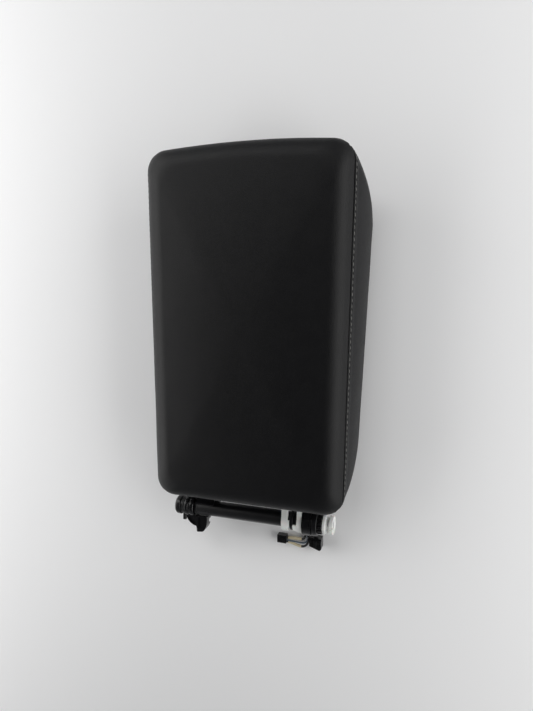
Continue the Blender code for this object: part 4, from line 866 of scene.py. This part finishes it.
def hinge_turned(name, profile, material, body, slot_name, stands_for, steps=96, **tools):
    bm = turned(rounded(profile, 3), steps=steps)
    return solid(name, bm, material, body, slot_name, stands_for, **tools)


hinge_turned("tube", [(TUBE_SPAN[0], TUBE_BORE, 0), (TUBE_SPAN[0], TUBE_RADIUS, 0.0003),
                      (COLLAR_SPAN[0], TUBE_RADIUS, 0.0002), (COLLAR_SPAN[0], COLLAR_RADIUS, 0.0004),
                      (COLLAR_STEP, COLLAR_RADIUS, 0.0003), (COLLAR_STEP, COLLAR_STEP_RADIUS, 0.0002),
                      (COLLAR_SPAN[1], COLLAR_STEP_RADIUS, 0.0003), (COLLAR_SPAN[1], TUBE_RADIUS, 0.0002),
                      (TUBE_SPAN[1], TUBE_RADIUS, 0.0002), (TUBE_SPAN[1], TUBE_BORE, 0)],
             "tube_black", "lid", "hinge_black_plastic", ["spring_tube"])
hinge_turned("tube_end", [(TUBE_BUSH_SPAN[0], BORE, 0), (TUBE_BUSH_SPAN[0], TUBE_RADIUS, 0.0005),
                          (TUBE_BUSH_FLANGE_END, TUBE_RADIUS, 0.0005),
                          (TUBE_BUSH_FLANGE_END, TUBE_BUSH_RADIUS, 0),
                          (TUBE_BUSH_SPAN[1], TUBE_BUSH_RADIUS, 0.0003), (TUBE_BUSH_SPAN[1], BORE, 0)],
             "black_plastic", "lid", "hinge_black_plastic", ["tube_bush"])


def end_bush_piece():
    low, high = END_BUSH_SPAN
    flange, step = low + 0.005, low + 0.0059
    profile = [(low, BORE, 0), (low, 0.005, 0.0002), (low + 0.0004, 0.0053, 0.0002),
               (low + 0.0004, 0.0062, 0.0002), (low, 0.0065, 0.0002), (low, 0.0073, 0.0004),
               (low + 0.0012, 0.0085, 0.0006), (flange, 0.0085, 0.0005), (flange, 0.0071, 0.0002),
               (step, 0.0071, 0.0002),
               (step, 0.0078, 0.0003), (step + 0.0011, 0.0078, 0.0002), (step + 0.0013, 0.0075, 0.0001),
               (step + 0.0015, 0.0078, 0.0002), (high, 0.0078, 0.0003), (high, BORE, 0)]
    far, near = AXIS_Y - 0.0133, AXIS_Y - 0.006
    peg_foot, peg_top = AXIS_Z + 0.0002, AXIS_Z + 0.0032
    peg = rounded([(near, peg_top, 0), (near, peg_foot, 0), (far + 0.0005, peg_foot, 0.0006),
                   (far, AXIS_Z + 0.001, 0.0006), (far, peg_top, 0.0008)])
    hinge_turned("end_flange", profile, "black_plastic", "hinge_base", "hinge_black_plastic", ["end_bush"],
                 add=[prism(peg, "X", step + 0.0002, high - 0.0004)], bevel=0.00015)


end_bush_piece()


def claw_piece():
    """Hub with a groove, a curved plate with a raised rim, and a hooked jaw."""
    low, high = CLAW_SPAN
    hub = turned(rounded([(low, BORE, 0), (low, 0.0084, 0.0003), (low + 0.0005, 0.009, 0.0004),
                          (low + 0.0035, 0.009, 0.0003), (low + 0.0035, 0.0084, 0.0002),
                          (low + 0.0055, 0.0084, 0.0002), (low + 0.0055, 0.009, 0.0003),
                          (high - 0.0005, 0.009, 0.0004), (high, 0.0084, 0.0003), (high, BORE, 0)], 3))
    bend, rear, root = 0.0112, AXIS_Y - 0.023, AXIS_Y - 0.0063
    centre = (low + bend, root)

    def curve(radius, start, end, steps):
        turns = [radians(start + (end - start) * k / steps) for k in range(steps + 1)]
        return [(centre[0] + radius * cos(a), centre[1] + radius * sin(a), 0.0) for a in turns]

    outline = [(low, AXIS_Y - 0.0045, 0.0), (low, root, 0.0006)] + curve(bend, 187.0, 262.0, 20)
    outline += [(low + 0.0103, rear + 0.004, 0.0006), (low + 0.0106, rear, 0.0008),
                (low + 0.0162, rear + 0.0006, 0.003),
                (low + 0.0184, rear + 0.0028, 0.002), (low + 0.0202, rear + 0.0073, 0.002),
                (low + 0.0205, rear + 0.0125, 0.002), (low + 0.0205, AXIS_Y - 0.008, 0.0006),
                (high + 0.0005, AXIS_Y - 0.008, 0.0004), (high - 0.0003, AXIS_Y - 0.0048, 0.0)]
    middle = AXIS_Z - 0.001
    top = middle + 0.0045
    plate = prism(rounded(outline, 4), "Z", middle - 0.0045, top)
    slot_near, slot_far, slot_foot, slot_top = AXIS_Y - 0.0115, AXIS_Y - 0.016, middle - 0.009, middle - 0.001
    slot_cut = box((low + 0.012, slot_far, slot_foot), (low + 0.0225, slot_near, slot_top))
    pocket = plain(curve(bend - 0.0011, 200.0, 255.0, 14) + curve(bend - 0.004, 255.0, 205.0, 14))
    ledge = [(low + 0.0118, rear + 0.0036), (low + 0.0158, rear + 0.0026), (low + 0.0176, rear + 0.005),
             (low + 0.0192, rear + 0.011), (low + 0.0192, rear + 0.0138), (low + 0.0118, rear + 0.0138)]
    solid("claw", hub, "black_steel", "hinge_base", "arm_black_metal", ["stop_claw"], bevel=0.0004,
          add=[plate], cut=[slot_cut, prism(pocket[::-1], "Z", top - 0.0011, top + 0.002),
                            prism(ledge, "Z", top - 0.0014, top + 0.002),
                            drill(low - OVERRUN, high + OVERRUN, BORE)])


claw_piece()


def screw_bores(span):
    places = [(sum(span) / 2, AXIS_Y + reach) for reach in ARM_SCREW_REACHES]
    return [drill(ARM_BOTTOM - OVERRUN, ARM_TOP + 2 * OVERRUN, SCREW_BORE, place, "Z", 32) for place in places]


def left_arm_piece():
    outside = SADDLE + 0.0035
    outline = [(ARM_FRONT, ARM_TOP, 0.0), (AXIS_Y + outside + 0.006, ARM_TOP, 0.003)]
    outline += arc(outside, 34.0, 52.0, 4) + arc(SADDLE, 52.0, -82.0, 36) + arc(outside, -82.0, -40.0, 10)
    outline += [(AXIS_Y + outside + 0.006, ARM_BOTTOM, 0.003), (ARM_FRONT, ARM_BOTTOM, 0.0)]
    arm = prism(rounded(outline, 5), "X", TUBE_SPAN[0], LEFT_ARM_SPAN[1])
    widening = box((LEFT_ARM_SPAN[0], AXIS_Y + 0.011, ARM_BOTTOM), (TUBE_SPAN[0] + 0.002, ARM_FRONT, ARM_TOP))
    ribs = [box((x, AXIS_Y + 0.016, ARM_TOP - 0.0003), (x + 0.0024, AXIS_Y + 0.067, ARM_TOP + 0.0012))
            for x in (LEFT_ARM_SPAN[0] + 0.0006, LEFT_ARM_SPAN[1] - 0.003)]
    solid("arm_left", arm, "black_steel", "lid", "arm_black_metal", ["hinge_arm_left"], bevel=0.0004,
          add=[widening] + ribs, cut=screw_bores(LEFT_ARM_SPAN))


left_arm_piece()


def right_arm_piece():
    low, high = KNUCKLE_SPAN
    outline = [(ARM_FRONT, ARM_TOP, 0.0), (AXIS_Y + KNUCKLE_RADIUS + 0.006, ARM_TOP, 0.003)]
    outline += arc(KNUCKLE_RADIUS, 50.0, 310.0, 72)
    outline += [(AXIS_Y + KNUCKLE_RADIUS + 0.006, ARM_BOTTOM, 0.003), (ARM_FRONT, ARM_BOTTOM, 0.0)]
    knuckle = prism(rounded(outline, 5), "X", low, high)
    widening = box((high - 0.002, AXIS_Y + KNUCKLE_RADIUS + 0.002, ARM_BOTTOM),
                   (RIGHT_ARM_SPAN[1], ARM_FRONT, ARM_TOP))
    groove_floor = KNUCKLE_RADIUS - 0.0004
    grooves = [turned([(x, groove_floor), (x, 0.013), (x + 0.0005, 0.013), (x + 0.0005, groove_floor)])
               for x in (low + 0.0008, high - 0.0016)]
    seat, bush_bore = low + 0.003, 0.0051
    bore = turned([(low - OVERRUN, 0.0), (low - OVERRUN, SADDLE), (seat, SADDLE), (seat, bush_bore),
                   (high + OVERRUN, bush_bore), (high + OVERRUN, 0.0)])
    solid("arm_right", knuckle, "black_steel", "lid", "arm_black_metal", ["hinge_arm_right"], bevel=0.0004,
          add=[widening], cut=grooves + [bore] + screw_bores(RIGHT_ARM_SPAN))


right_arm_piece()

hinge_turned("brake", [(BRAKE_SPAN[0], BORE, 0), (BRAKE_SPAN[0], KNUCKLE_RADIUS - 0.0005, 0.0006),
                       (BRAKE_SPAN[1], KNUCKLE_RADIUS - 0.0005, 0.0006), (BRAKE_SPAN[1], BORE, 0)],
             "black_plastic", "hinge_base", "hinge_black_plastic", ["brake_ring"], angle=60.0)


def toothed_piece():
    low, high = TEETH_SPAN
    outline = []
    teeth = 14
    for tooth in range(teeth):
        start, step = 360.0 * tooth / teeth, 360.0 / teeth
        outline += arc(0.0073, start + 0.02 * step, start + 0.28 * step, 2)
        outline += arc(0.0088, start + 0.42 * step, start + 0.86 * step, 3)
    solid("teeth", prism(plain(outline), "X", low, high), "black_plastic", "hinge_base", "hinge_black_plastic",
          ["toothed_collar"], bevel=0.0003, cut=[drill(low - OVERRUN, high + OVERRUN, BORE)])


toothed_piece()


def spool_piece():
    low, high = SPOOL_SPAN
    neck, rim = (low + 0.0028, high - 0.0034), 0.008
    profile = [(low, BORE, 0), (low, rim, 0.0006), (neck[0], rim, 0.0006), (neck[0], 0.0062, 0.0004),
               (neck[1], 0.0062, 0.0004), (neck[1], rim, 0.0006), (high, rim, 0.0007),
               (high, 0.0056, 0.0003), (high - 0.0008, 0.0052, 0.0003), (high - 0.0008, BORE, 0)]
    key_slot = box((neck[1] - 0.0001, AXIS_Y - 0.0012, AXIS_Z + 0.0068),
                   (high + 0.0002, AXIS_Y + 0.0012, AXIS_Z + 0.009))
    hinge_turned("spool", profile, "nylon", "hinge_base", "white_nylon", ["nylon_spool"], angle=60.0,
                 cut=[key_slot])


spool_piece()

low, high = SHAFT_SPAN
hinge_turned("shaft", [(low, 0.0, 0), (low, 0.0029, 0.0003), (low + 0.0007, SHAFT_RADIUS, 0.0003),
                       (high - 0.0007, SHAFT_RADIUS, 0.0003), (high, 0.0029, 0.0003), (high, 0.0012, 0.0001),
                       (high - 0.001, 0.0, 0)],
             "bright_steel", "hinge_base", "bright_steel", ["hinge_shaft"], steps=64)


def clip_piece():
    """White clip: a plate under the lid that splits into two hooked straps round the tube."""
    outside = SADDLE + 0.0026
    top = AXIS_Z + 0.0075
    bottom, front = top - 0.0026, AXIS_Y + 0.072
    outline = [(front, bottom, 0.0), (front, top, 0.0), (AXIS_Y + outside + 0.005, top, 0.004)]
    outline += arc(outside, 62.0, 196.0, 34)
    outline += [(y, z, 0.0006) for y, z, _ in arc(0.0134, 206.0, 228.0, 2)]
    outline += arc(SADDLE, 232.0, 38.0, 48)
    outline += [(AXIS_Y + outside + 0.003, bottom, 0.003)]
    shape = rounded(outline, 4)
    low, high = CLIP_SPAN
    first = prism(shape, "X", low, low + CLIP_RINGS[0])
    second = prism(shape, "X", high - CLIP_RINGS[1], high)
    bridge = box((low + 0.001, AXIS_Y + outside + 0.01, bottom), (high - 0.001, front, top))
    lugs = []
    for inner, start, end, face, width in (
            (SADDLE + 0.0004, 72.0, 117.0, low + CLIP_RINGS[0] - 0.001, 0.0025),
            (0.0079, 95.0, 140.0, high - CLIP_RINGS[1] - 0.0035, 0.0045)):
        lug = arc(inner, start, end, 10) + arc(outside - 0.0003, end, start, 10)
        lugs.append(prism(plain(lug), "X", face, face + width))
    hole = drill(bottom - OVERRUN, top + OVERRUN, SCREW_BORE, (sum(CLIP_SPAN) / 2, AXIS_Y + CLIP_SCREW_REACH),
                 "Z", 32)
    solid("clip", first, "nylon", "lid", "white_nylon", ["cable_clip"], bevel=0.00035,
          add=[second, bridge] + lugs, cut=[hole])


clip_piece()


def spring_piece():
    """Torsion spring inside the tube: a wire along a helix."""
    mean, wire, turns, per_turn = 0.00455, 0.0007, 12, 28
    start, length = TUBE_SPAN[0] + 0.009, 0.0486
    points = []
    for k in range(turns * per_turn + 1):
        turn = tau * k / per_turn
        points.append(Vector((start + length * k / (turns * per_turn), AXIS_Y + mean * cos(turn),
                              AXIS_Z + mean * sin(turn))) + PAD_ORIGIN)
    solid("spring", tube_along(points, [wire] * len(points), 10), "bright_steel", "hinge_base", "bright_steel",
          ["torsion_spring"], angle=60.0)


# Harness: X in the pad's frame, Y and Z from the hinge line

MAIN_LEAD = [(0.052, 0.0455, -0.0054), (0.052, 0.0361, -0.0064), (0.0518, 0.0221, -0.011),
             (0.0515, 0.0061, -0.016), (0.0512, -0.0079, -0.02), (0.051, -0.0169, -0.0212),
             (0.051, -0.0229, -0.0212)]
BRANCH_LEAD = [(0.0462, 0.0455, -0.0054), (0.0462, 0.0361, -0.0064), (0.0459, 0.0221, -0.0112),
               (0.0454, 0.0081, -0.016), (0.0447, -0.0039, -0.0198), (0.0443, -0.0107, -0.0214)]
UPPER_LEAD = [(0.0428, -0.0112, -0.0217), (0.042, -0.016, -0.0224), (0.0408, -0.0205, -0.0228),
              (0.0403, -0.024, -0.0228), (0.0396, -0.0266, -0.0228), (0.0376, -0.0282, -0.0228),
              (0.0335, -0.0282, -0.0228), (0.028, -0.0283, -0.0227), (0.0237, -0.0286, -0.0226)]
LOWER_LEAD = [(0.0458, -0.0112, -0.0217), (0.045, -0.016, -0.0224), (0.0438, -0.0205, -0.0228),
              (0.0434, -0.0245, -0.0228), (0.0433, -0.0285, -0.0228), (0.0423, -0.0322, -0.0228),
              (0.04, -0.0345, -0.0228), (0.0371, -0.0353, -0.0228), (0.033, -0.0347, -0.0228),
              (0.0285, -0.0333, -0.0227), (0.0237, -0.0324, -0.0226)]
WIRE = [(0.0232, -0.0308, -0.0222), (0.027, -0.0309, -0.0214), (0.032, -0.0307, -0.021),
        (0.037, -0.0312, -0.0212), (0.041, -0.0305, -0.0218), (0.0425, -0.0275, -0.0226),
        (0.0424, -0.024, -0.0228)]


def lead_points(route, count):
    """Evenly spread points on the smooth curve through a route."""
    places = [Vector((x, AXIS_Y + y, AXIS_Z + z)) + PAD_ORIGIN for x, y, z in route]
    ends = [2 * places[0] - places[1]] + places + [2 * places[-1] - places[-2]]
    fine = []
    for k in range(1, len(ends) - 2):
        a, b, c, d = ends[k - 1:k + 3]
        for step in range(24):
            t = step / 24
            fine.append(0.5 * (2 * b + (c - a) * t + (2 * a - 5 * b + 4 * c - d) * t ** 2
                               + (3 * b - a - 3 * c + d) * t ** 3))
    fine.append(places[-1])
    run = np.concatenate([[0.0], np.cumsum([(q - p).length for p, q in zip(fine, fine[1:])])])
    goals = np.linspace(0.0, run[-1], count)
    spread = np.array([np.interp(goals, run, [p[k] for p in fine]) for k in range(3)]).T
    return spread, float(run[-1])


def lead_curve(name, points, radius, material, stands_for):
    curve = bpy.data.curves.new(name, "CURVE")
    curve.dimensions = "3D"
    curve.bevel_depth = radius
    curve.bevel_resolution = 5
    curve.use_fill_caps = True
    spline = curve.splines.new("POLY")
    spline.points.add(len(points) - 1)
    for place, point in zip(spline.points, points):
        place.co = (*point, 1.0)
    return dressed(linked(name, curve), material, "lid", stands_for)


THICK_LEAD, THIN_LEAD = 0.0021, 0.0011
LEAD_POINTS, SLEEVE_POINTS, WIRE_POINTS = 60, 160, 90

# Route, radius and slot of each lead
LEAD_KINDS = {"lead_main": (MAIN_LEAD, THICK_LEAD, "black_lead"),
              "lead_branch": (BRANCH_LEAD, THICK_LEAD, "black_lead"),
              "lead_cream_upper": (UPPER_LEAD, THIN_LEAD, "cream_lead"),
              "lead_cream_lower": (LOWER_LEAD, THIN_LEAD, "cream_lead")}
LEADS = {}
for name, (route, radius, slot_name) in LEAD_KINDS.items():
    points, length = lead_points(route, LEAD_POINTS)
    LEADS[name] = (lead_curve("visual_" + name, points, radius, "tape", [name]), points, length)


def sleeve(name, route, start, end, radius):
    """Cream sleeve over one stretch of a lead, with a rolled end and slow unevenness."""
    points, _ = lead_points(route, SLEEVE_POINTS)
    first, last = int(start * (SLEEVE_POINTS - 1)), int(end * (SLEEVE_POINTS - 1))
    run = points[first:last]
    radii = []
    for k in range(len(run)):
        edge = min(k, len(run) - 1 - k)
        lip = 1.0 - 0.22 * max(0.0, 1.0 - edge / 3.0) ** 2
        radii.append(radius * lip * (1.0 + 0.035 * noise.noise(Vector((k * 0.09, radius * 900.0, 0.0)))))
    return solid(name, tube_along(run, radii), "cream", "lid", "cream_lead", (), angle=60.0)


SLEEVES = [sleeve("sleeve_upper", UPPER_LEAD, 0.58, 0.99, 0.00138),
           sleeve("sleeve_lower", LOWER_LEAD, 0.67, 0.99, 0.00122)]


def wire_piece():
    points, _ = lead_points(WIRE, WIRE_POINTS)
    radii = [0.00075 + 0.00003 * cos(k * 1.3) for k in range(WIRE_POINTS)]
    return solid("wire", tube_along(points, radii, 14), "wire_blue", "lid", "black_lead", (), angle=60.0)


WIRE_PIECE = wire_piece()


def box_at(centre, low, high):
    return box(centre + Vector(low), centre + Vector(high))


def plug_pieces():
    small = Vector((0.0191, AXIS_Y - 0.0298, AXIS_Z - 0.0226))
    half = Vector((0.00425, 0.0036, 0.0029))
    body = box(small - half, small + half)
    latch = box_at(small, (-0.003, -0.0011, 0.0027), (0.0026, 0.0011, 0.0034))
    bump = box_at(small, (-0.0006, -0.0011, 0.003), (0.0004, 0.0011, 0.0038))
    slots = [box_at(small, (-0.0034 + 0.0019 * k, near, 0.0023), (-0.0024 + 0.0019 * k, far, 0.004))
             for near, far in ((-0.003, -0.0017), (0.0017, 0.003)) for k in range(4)]
    mouth = box_at(small, (-0.005, -0.0026, -0.0018), (-0.003, 0.0026, 0.0018))
    plug = solid("connector_small", body, "black_plastic", "lid", "connector_plastic", ["plug_small"],
                 bevel=0.00025, add=[latch, bump], cut=slots + [mouth])
    large = Vector((0.0507, AXIS_Y - 0.0285, AXIS_Z - 0.0212))
    outline = [(0.0054, 0.0049), (-0.0054, 0.0052), (-0.0054, -0.0021), (0.0042, -0.0055), (0.0056, -0.004)]
    body = prism([(large.x + x, large.y + y) for x, y in outline], "Z", large.z - 0.00475, large.z + 0.00475)
    rail = box_at(large, (-0.0012, -0.003, 0.0045), (0.0012, 0.0036, 0.0055))
    step_cut = box_at(large, (-0.007, 0.0034, 0.0034), (0.007, 0.007, 0.007))
    windows = [box_at(large, (x, -0.001, 0.004), (x + 0.0013, 0.0024, 0.007))
               for x in (-0.0042, -0.0028, 0.002, 0.0034)]
    mouth = box_at(large, (-0.003, -0.008, -0.0032), (0.0036, -0.0018, 0.0024))
    other = solid("connector_large", body, "black_plastic", "lid", "connector_plastic", ["plug_large"],
                  bevel=0.0004, add=[rail], cut=[step_cut, mouth] + windows)
    return plug, other


PLUG_SMALL, PLUG_LARGE = plug_pieces()

for key, far, extra, width in (("lead_main", "connector", [PLUG_LARGE], 0.0042),
                               ("lead_branch", "bare", [], 0.0042),
                               ("lead_cream_upper", "connector", [PLUG_SMALL, SLEEVES[0], WIRE_PIECE], 0.0026),
                               ("lead_cream_lower", "connector", [PLUG_SMALL, SLEEVES[1]], 0.0026)):
    lead, points, length = LEADS[key]


# Underside

COPIES = turned_copies()


def repeated(name, form, places, material, stands_for, turn=0.0):
    """One form repeated at places given in the pad's frame, as one piece on the lid."""
    mesh = bpy.data.meshes.new(name)
    mesh.from_pydata([tuple(Vector(place) + PAD_ORIGIN) for place in places], [], [])
    piece = copied(linked(name, mesh), COPIES, {"Form": form, "Turn": turn, "Material": MATERIALS[material]})
    bpy.data.objects.remove(form, do_unlink=True)
    return dressed(piece, None, "lid", stands_for)


def screw_form(bite, sunk=False):
    """Screw with its head down and its seat at the origin: a cross recess, a threaded shank and a point."""
    wide, crest, root, pitch = 0.0033, 0.0015, 0.0012, 0.00085
    face = -0.0015 if sunk else -0.0018
    if sunk:
        head = [(face, 0.0, 0), (face, wide, 0.0001), (0.0, crest, 0.0001)]
    else:
        head = [(face, 0.0, 0), (face, 0.0024, 0.0008), (-0.0008, wide, 0.0005), (0.0, wide, 0.0001),
                (0.0, crest, 0.0001)]
    shank, along = [], 0.0012
    while along < bite - 0.0022:
        shank += [(along, root), (along + 0.00035, crest), (along + 0.0005, crest)]
        along += pitch
    profile = rounded(head, 3) + shank + [(bite - 0.0016, root), (bite, 0.0)]
    recess = [box((-x, -y, face - OVERRUN), (x, y, face + 0.0011))
              for x, y in ((0.0019, 0.00042), (0.00042, 0.0019))]
    hollow = turned([(face - OVERRUN, 0.0), (face - OVERRUN, 0.0009), (face, 0.0009), (face + 0.0014, 0.0)],
                    (0.0, 0.0), "Z", 16)
    return formed("screw", turned(profile, (0.0, 0.0), "Z", 28), bevel=0.00006, cut=recess + [hollow],
                  angle=40.0)


def numbered(stem, count):
    return ["%s_%d" % (stem, k + 1) for k in range(count)]


def fasteners():
    places = [(x, y, COVER_SCREW_SEAT) for x, y in COVER_SCREWS]
    repeated("screws_lower_cover", screw_form(0.0101), places, "black_steel",
             numbered("liner_screw", 6), radians(37))
    places = [(sum(span) / 2, AXIS_Y + reach, ARM_BOTTOM - GAP) for span in (LEFT_ARM_SPAN, RIGHT_ARM_SPAN)
              for reach in ARM_SCREW_REACHES]
    repeated("screws_arms", screw_form(0.014), places, "bright_steel",
             numbered("arm_screw", 4), radians(52))
    places = [(sum(CLIP_SPAN) / 2, AXIS_Y + CLIP_SCREW_REACH, CLIP_SCREW_SEAT)]
    repeated("screw_clip", screw_form(0.0116), places, "bright_steel", ["clip_screw_1"])
    places = [(x, y, CATCH_SCREW_SEAT) for x, y in CATCH_SCREWS]
    repeated("screws_catch", screw_form(0.0075, True), places, "bright_steel",
             numbered("catch_screw", 2), radians(23))
    foot, neck = BUMPER_FOOT, BUMPER_NECK
    profile = rounded([(foot, 0.0, 0), (foot, 0.0028, 0.0004), (-0.0496, 0.0033, 0.0003),
                       (-0.0496, 0.004, 0.0003), (foot, 0.0045, 0.0004), (foot, 0.007, 0.0014),
                       (-0.0463, 0.007, 0.0006), (-0.0463, neck, 0.0003), (-0.0435, neck, 0.0002),
                       (-0.0435, 0.0042, 0.0004), (-0.0405, 0.0018, 0.0006), (-0.0405, 0.0, 0)], 4)
    form = formed("bumper", turned(profile, (0.0, 0.0), "Z", 48), angle=50.0)
    repeated("bumpers", form, [(x, y, 0.0) for x, y in BUMPERS], "rubber",
             numbered("bumper", 4))


fasteners()


def lower_cover_piece():
    """Cover of the underside: a rim, a sloping wall, and a floor with a groove and sunk screw wells."""
    wall, floor_z = 0.0022, COVER_FLOOR

    def section(points, side):
        """Rings of the form at (inset, share of the way down to the floor, rise) points."""
        made = []
        for inset, share, rise in points:
            ring = skirt_ring(1.0, extra=inset)
            top = GAP * 2 + (0.0 if side == "inner" else wall)
            floor = floor_z if side == "outer" else floor_z + wall
            made.append([(x, y, (-skirt_depth(y) - top) * (1 - share) + floor * share + rise)
                         for x, y, _, _ in ring])
        return made

    outer = section([(0.006, 0.0, wall), (0.006, 0.0, 0.0006), (0.0062, 0.0, 0.0002), (0.0066, 0.0, 0.0),
                     (0.01, 0.0, 0.0), (0.0138, 0.0, 0.0), (0.0146, 0.0, -0.0002), (0.0152, 0.08, 0.0),
                     (0.0162, 0.3, 0.0), (0.0174, 0.6, 0.0), (0.0184, 0.84, 0.0), (0.019, 0.94, 0.0),
                     (0.0197, 0.985, 0.0), (0.0206, 1.0, 0.0), (0.0224, 1.0, 0.0), (0.0226, 1.0, 0.0005),
                     (0.0233, 1.0, 0.0005), (0.0235, 1.0, 0.0), (0.03, 1.0, 0.0)], "outer")
    inner = section([(0.006, 0.0, 0.0), (0.0105, 0.0, 0.0), (0.0172, 0.0, 0.0), (0.018, 0.2, 0.0),
                     (0.0206, 0.8, 0.0), (0.0212, 1.0, 0.0), (0.03, 1.0, 0.0)], "inner")
    bm = bmesh.new()
    for points in (outer, inner):
        rings = [[bm.verts.new(p) for p in ring] for ring in points]
        skin(bm, rings)
        bm.faces.new(rings[-1])
    bmesh.ops.remove_doubles(bm, verts=bm.verts, dist=0.000001)
    well_floor, through = floor_z + 0.0011, floor_z + 0.004
    well = [(floor_z - OVERRUN, 0.0), (floor_z - OVERRUN, 0.0053), (floor_z + 0.0001, 0.0046),
            (well_floor, 0.0041), (well_floor, SCREW_BORE), (through, SCREW_BORE), (through, 0.0)]
    cuts = [turned(well, place, "Z", 40) for place in COVER_SCREWS]
    for places, radius in ((BUMPERS, BUMPER_NECK + GAP), (CATCH_SCREWS, SCREW_BORE)):
        cuts += [drill(floor_z - OVERRUN, through, radius, place, "Z", 32) for place in places]
    solid("underside", bm, "soft_plastic", "lid", "lower_cover_plastic", ["lower_cover"], cut=cuts, angle=38.0)


lower_cover_piece()


def catch_plate_piece():
    face, top = CATCH_FACE, CATCH_BACK
    outline = [(-0.023, 0.058, 0.003), (0.023, 0.058, 0.003), (0.023, 0.074, 0.003), (-0.023, 0.074, 0.003)]
    wide = 0.0036
    sink = [(face - OVERRUN, 0.0), (face - OVERRUN, wide), (face + 0.0003, wide), (face + 0.0018, SCREW_BORE),
            (top + OVERRUN, SCREW_BORE), (top + OVERRUN, 0.0)]
    solid("catch", prism(rounded(outline, 8), "Z", face, top), "catch_steel", "lid", "bright_steel",
          ["catch_plate"], bevel=0.0003, cut=[turned(sink, place, "Z", 36) for place in CATCH_SCREWS])


catch_plate_piece()


def grommet_piece():
    low = Vector((0.045, AXIS_Y + 0.0458, -0.03244))
    high = Vector((0.0585, AXIS_Y + 0.0548, ARM_BOTTOM - GAP))
    depth, width = 0.0007, 0.0009
    bottom, top = low.z - OVERRUN, high.z + OVERRUN
    slots = []
    for y in (low.y + 0.0018, low.y + 0.0038, low.y + 0.0058):
        for left, right, end in ((low.x - OVERRUN, low.x + depth, top),
                                 (high.x - depth, high.x + OVERRUN, top),
                                 (low.x - OVERRUN, high.x + OVERRUN, low.z + depth)):
            slots.append(box((left, y, bottom), (right, y + width, end)))
    solid("grommet", box(low, high), "rubber", "lid", "bumper_rubber", ["cable_grommet"], bevel=0.0004,
          cut=slots)


grommet_piece()
spring_piece()

# Finishes of the pieces that keep their own form

KEPT = {"carrier": "black_plastic", "spring_anchor": "black_steel", "knuckle_bush": "nylon"}
for name, finish in KEPT.items():
    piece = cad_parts[name]
    piece.data.materials.clear()
    piece.data.materials.append(MATERIALS[finish])


# Floor, light and camera

FLOOR_HALF = 3.0
FLOOR_DROP = 0.0002
WORLD_EDGE, WORLD_TOP = 0.34, 0.03
WORLD_COLOUR = (0.86, 0.88, 0.9, 1.0)
WARM = (1.0, 0.995, 0.98)
LENS = 27.04
CAMERA_PLACE = Vector((0.14396, 0.0408, 0.39904))
CAMERA_AIM = Vector((-0.299, -0.137, -0.944))
CAMERA_UP = Vector((-0.046, 0.991, -0.129))


def add_floor():
    bm = bmesh.new()
    bmesh.ops.create_grid(bm, x_segments=1, y_segments=1, size=FLOOR_HALF)
    mesh = bpy.data.meshes.new("floor")
    bm.to_mesh(mesh)
    bm.free()
    floor = linked("floor", mesh)
    floor.location.z = -FLOOR_DROP
    mesh.materials.append(MATERIALS["floor"])


def add_light(name, place, target, size, power, colour=(1.0, 1.0, 1.0)):
    data = bpy.data.lights.new(name, "AREA")
    data.shape = "RECTANGLE"
    data.size, data.size_y = size
    data.energy = power
    data.color = colour
    light = linked(name, data)
    light.location = place
    light.rotation_euler = (Vector(target) - Vector(place)).to_track_quat("-Z", "Y").to_euler()


def add_camera():
    data = bpy.data.cameras.new("camera")
    data.sensor_width = 36.0
    data.lens = LENS
    data.clip_start = 0.01
    forward = CAMERA_AIM.normalized()
    right = forward.cross(CAMERA_UP).normalized()
    up = right.cross(forward)
    turn = Matrix((right, up, -forward)).transposed()
    camera = linked("camera", data)
    camera.matrix_world = Matrix.Translation(PAD_ORIGIN + CAMERA_PLACE) @ turn.to_4x4()
    bpy.context.scene.camera = camera


def world_light():
    """Soft surroundings, brighter towards the horizon than overhead."""
    world = bpy.data.worlds.new("world")
    world.use_nodes = True
    tree = world.node_tree
    place = node(tree, "ShaderNodeTexCoord")
    part = node(tree, "ShaderNodeSeparateXYZ", {"Vector": place["Generated"]})
    span = node(tree, "ShaderNodeMapRange", {"From Min": 0.15, "From Max": 0.95, "To Min": WORLD_EDGE,
                                             "To Max": WORLD_TOP, "Value": part["Z"]},
                interpolation_type="SMOOTHSTEP")
    feed(tree, tree.nodes["Background"], {"Color": WORLD_COLOUR, "Strength": span["Result"]})
    bpy.context.scene.world = world


add_floor()
add_light("left", (-0.68, 0.0, 0.34), (-0.38, -0.07, 0.0), (1.3, 0.5), 5.0, WARM)
add_light("right", (0.7, -0.05, 0.35), (0.4, -0.08, 0.0), (1.3, 0.5), 5.4, WARM)
add_light("front", (-0.3, 1.15, 1.2), (0.0, 0.0, 0.0), (0.9, 0.4), 5.0)
world_light()
add_camera()
bpy.context.scene.view_settings.view_transform = "Standard"
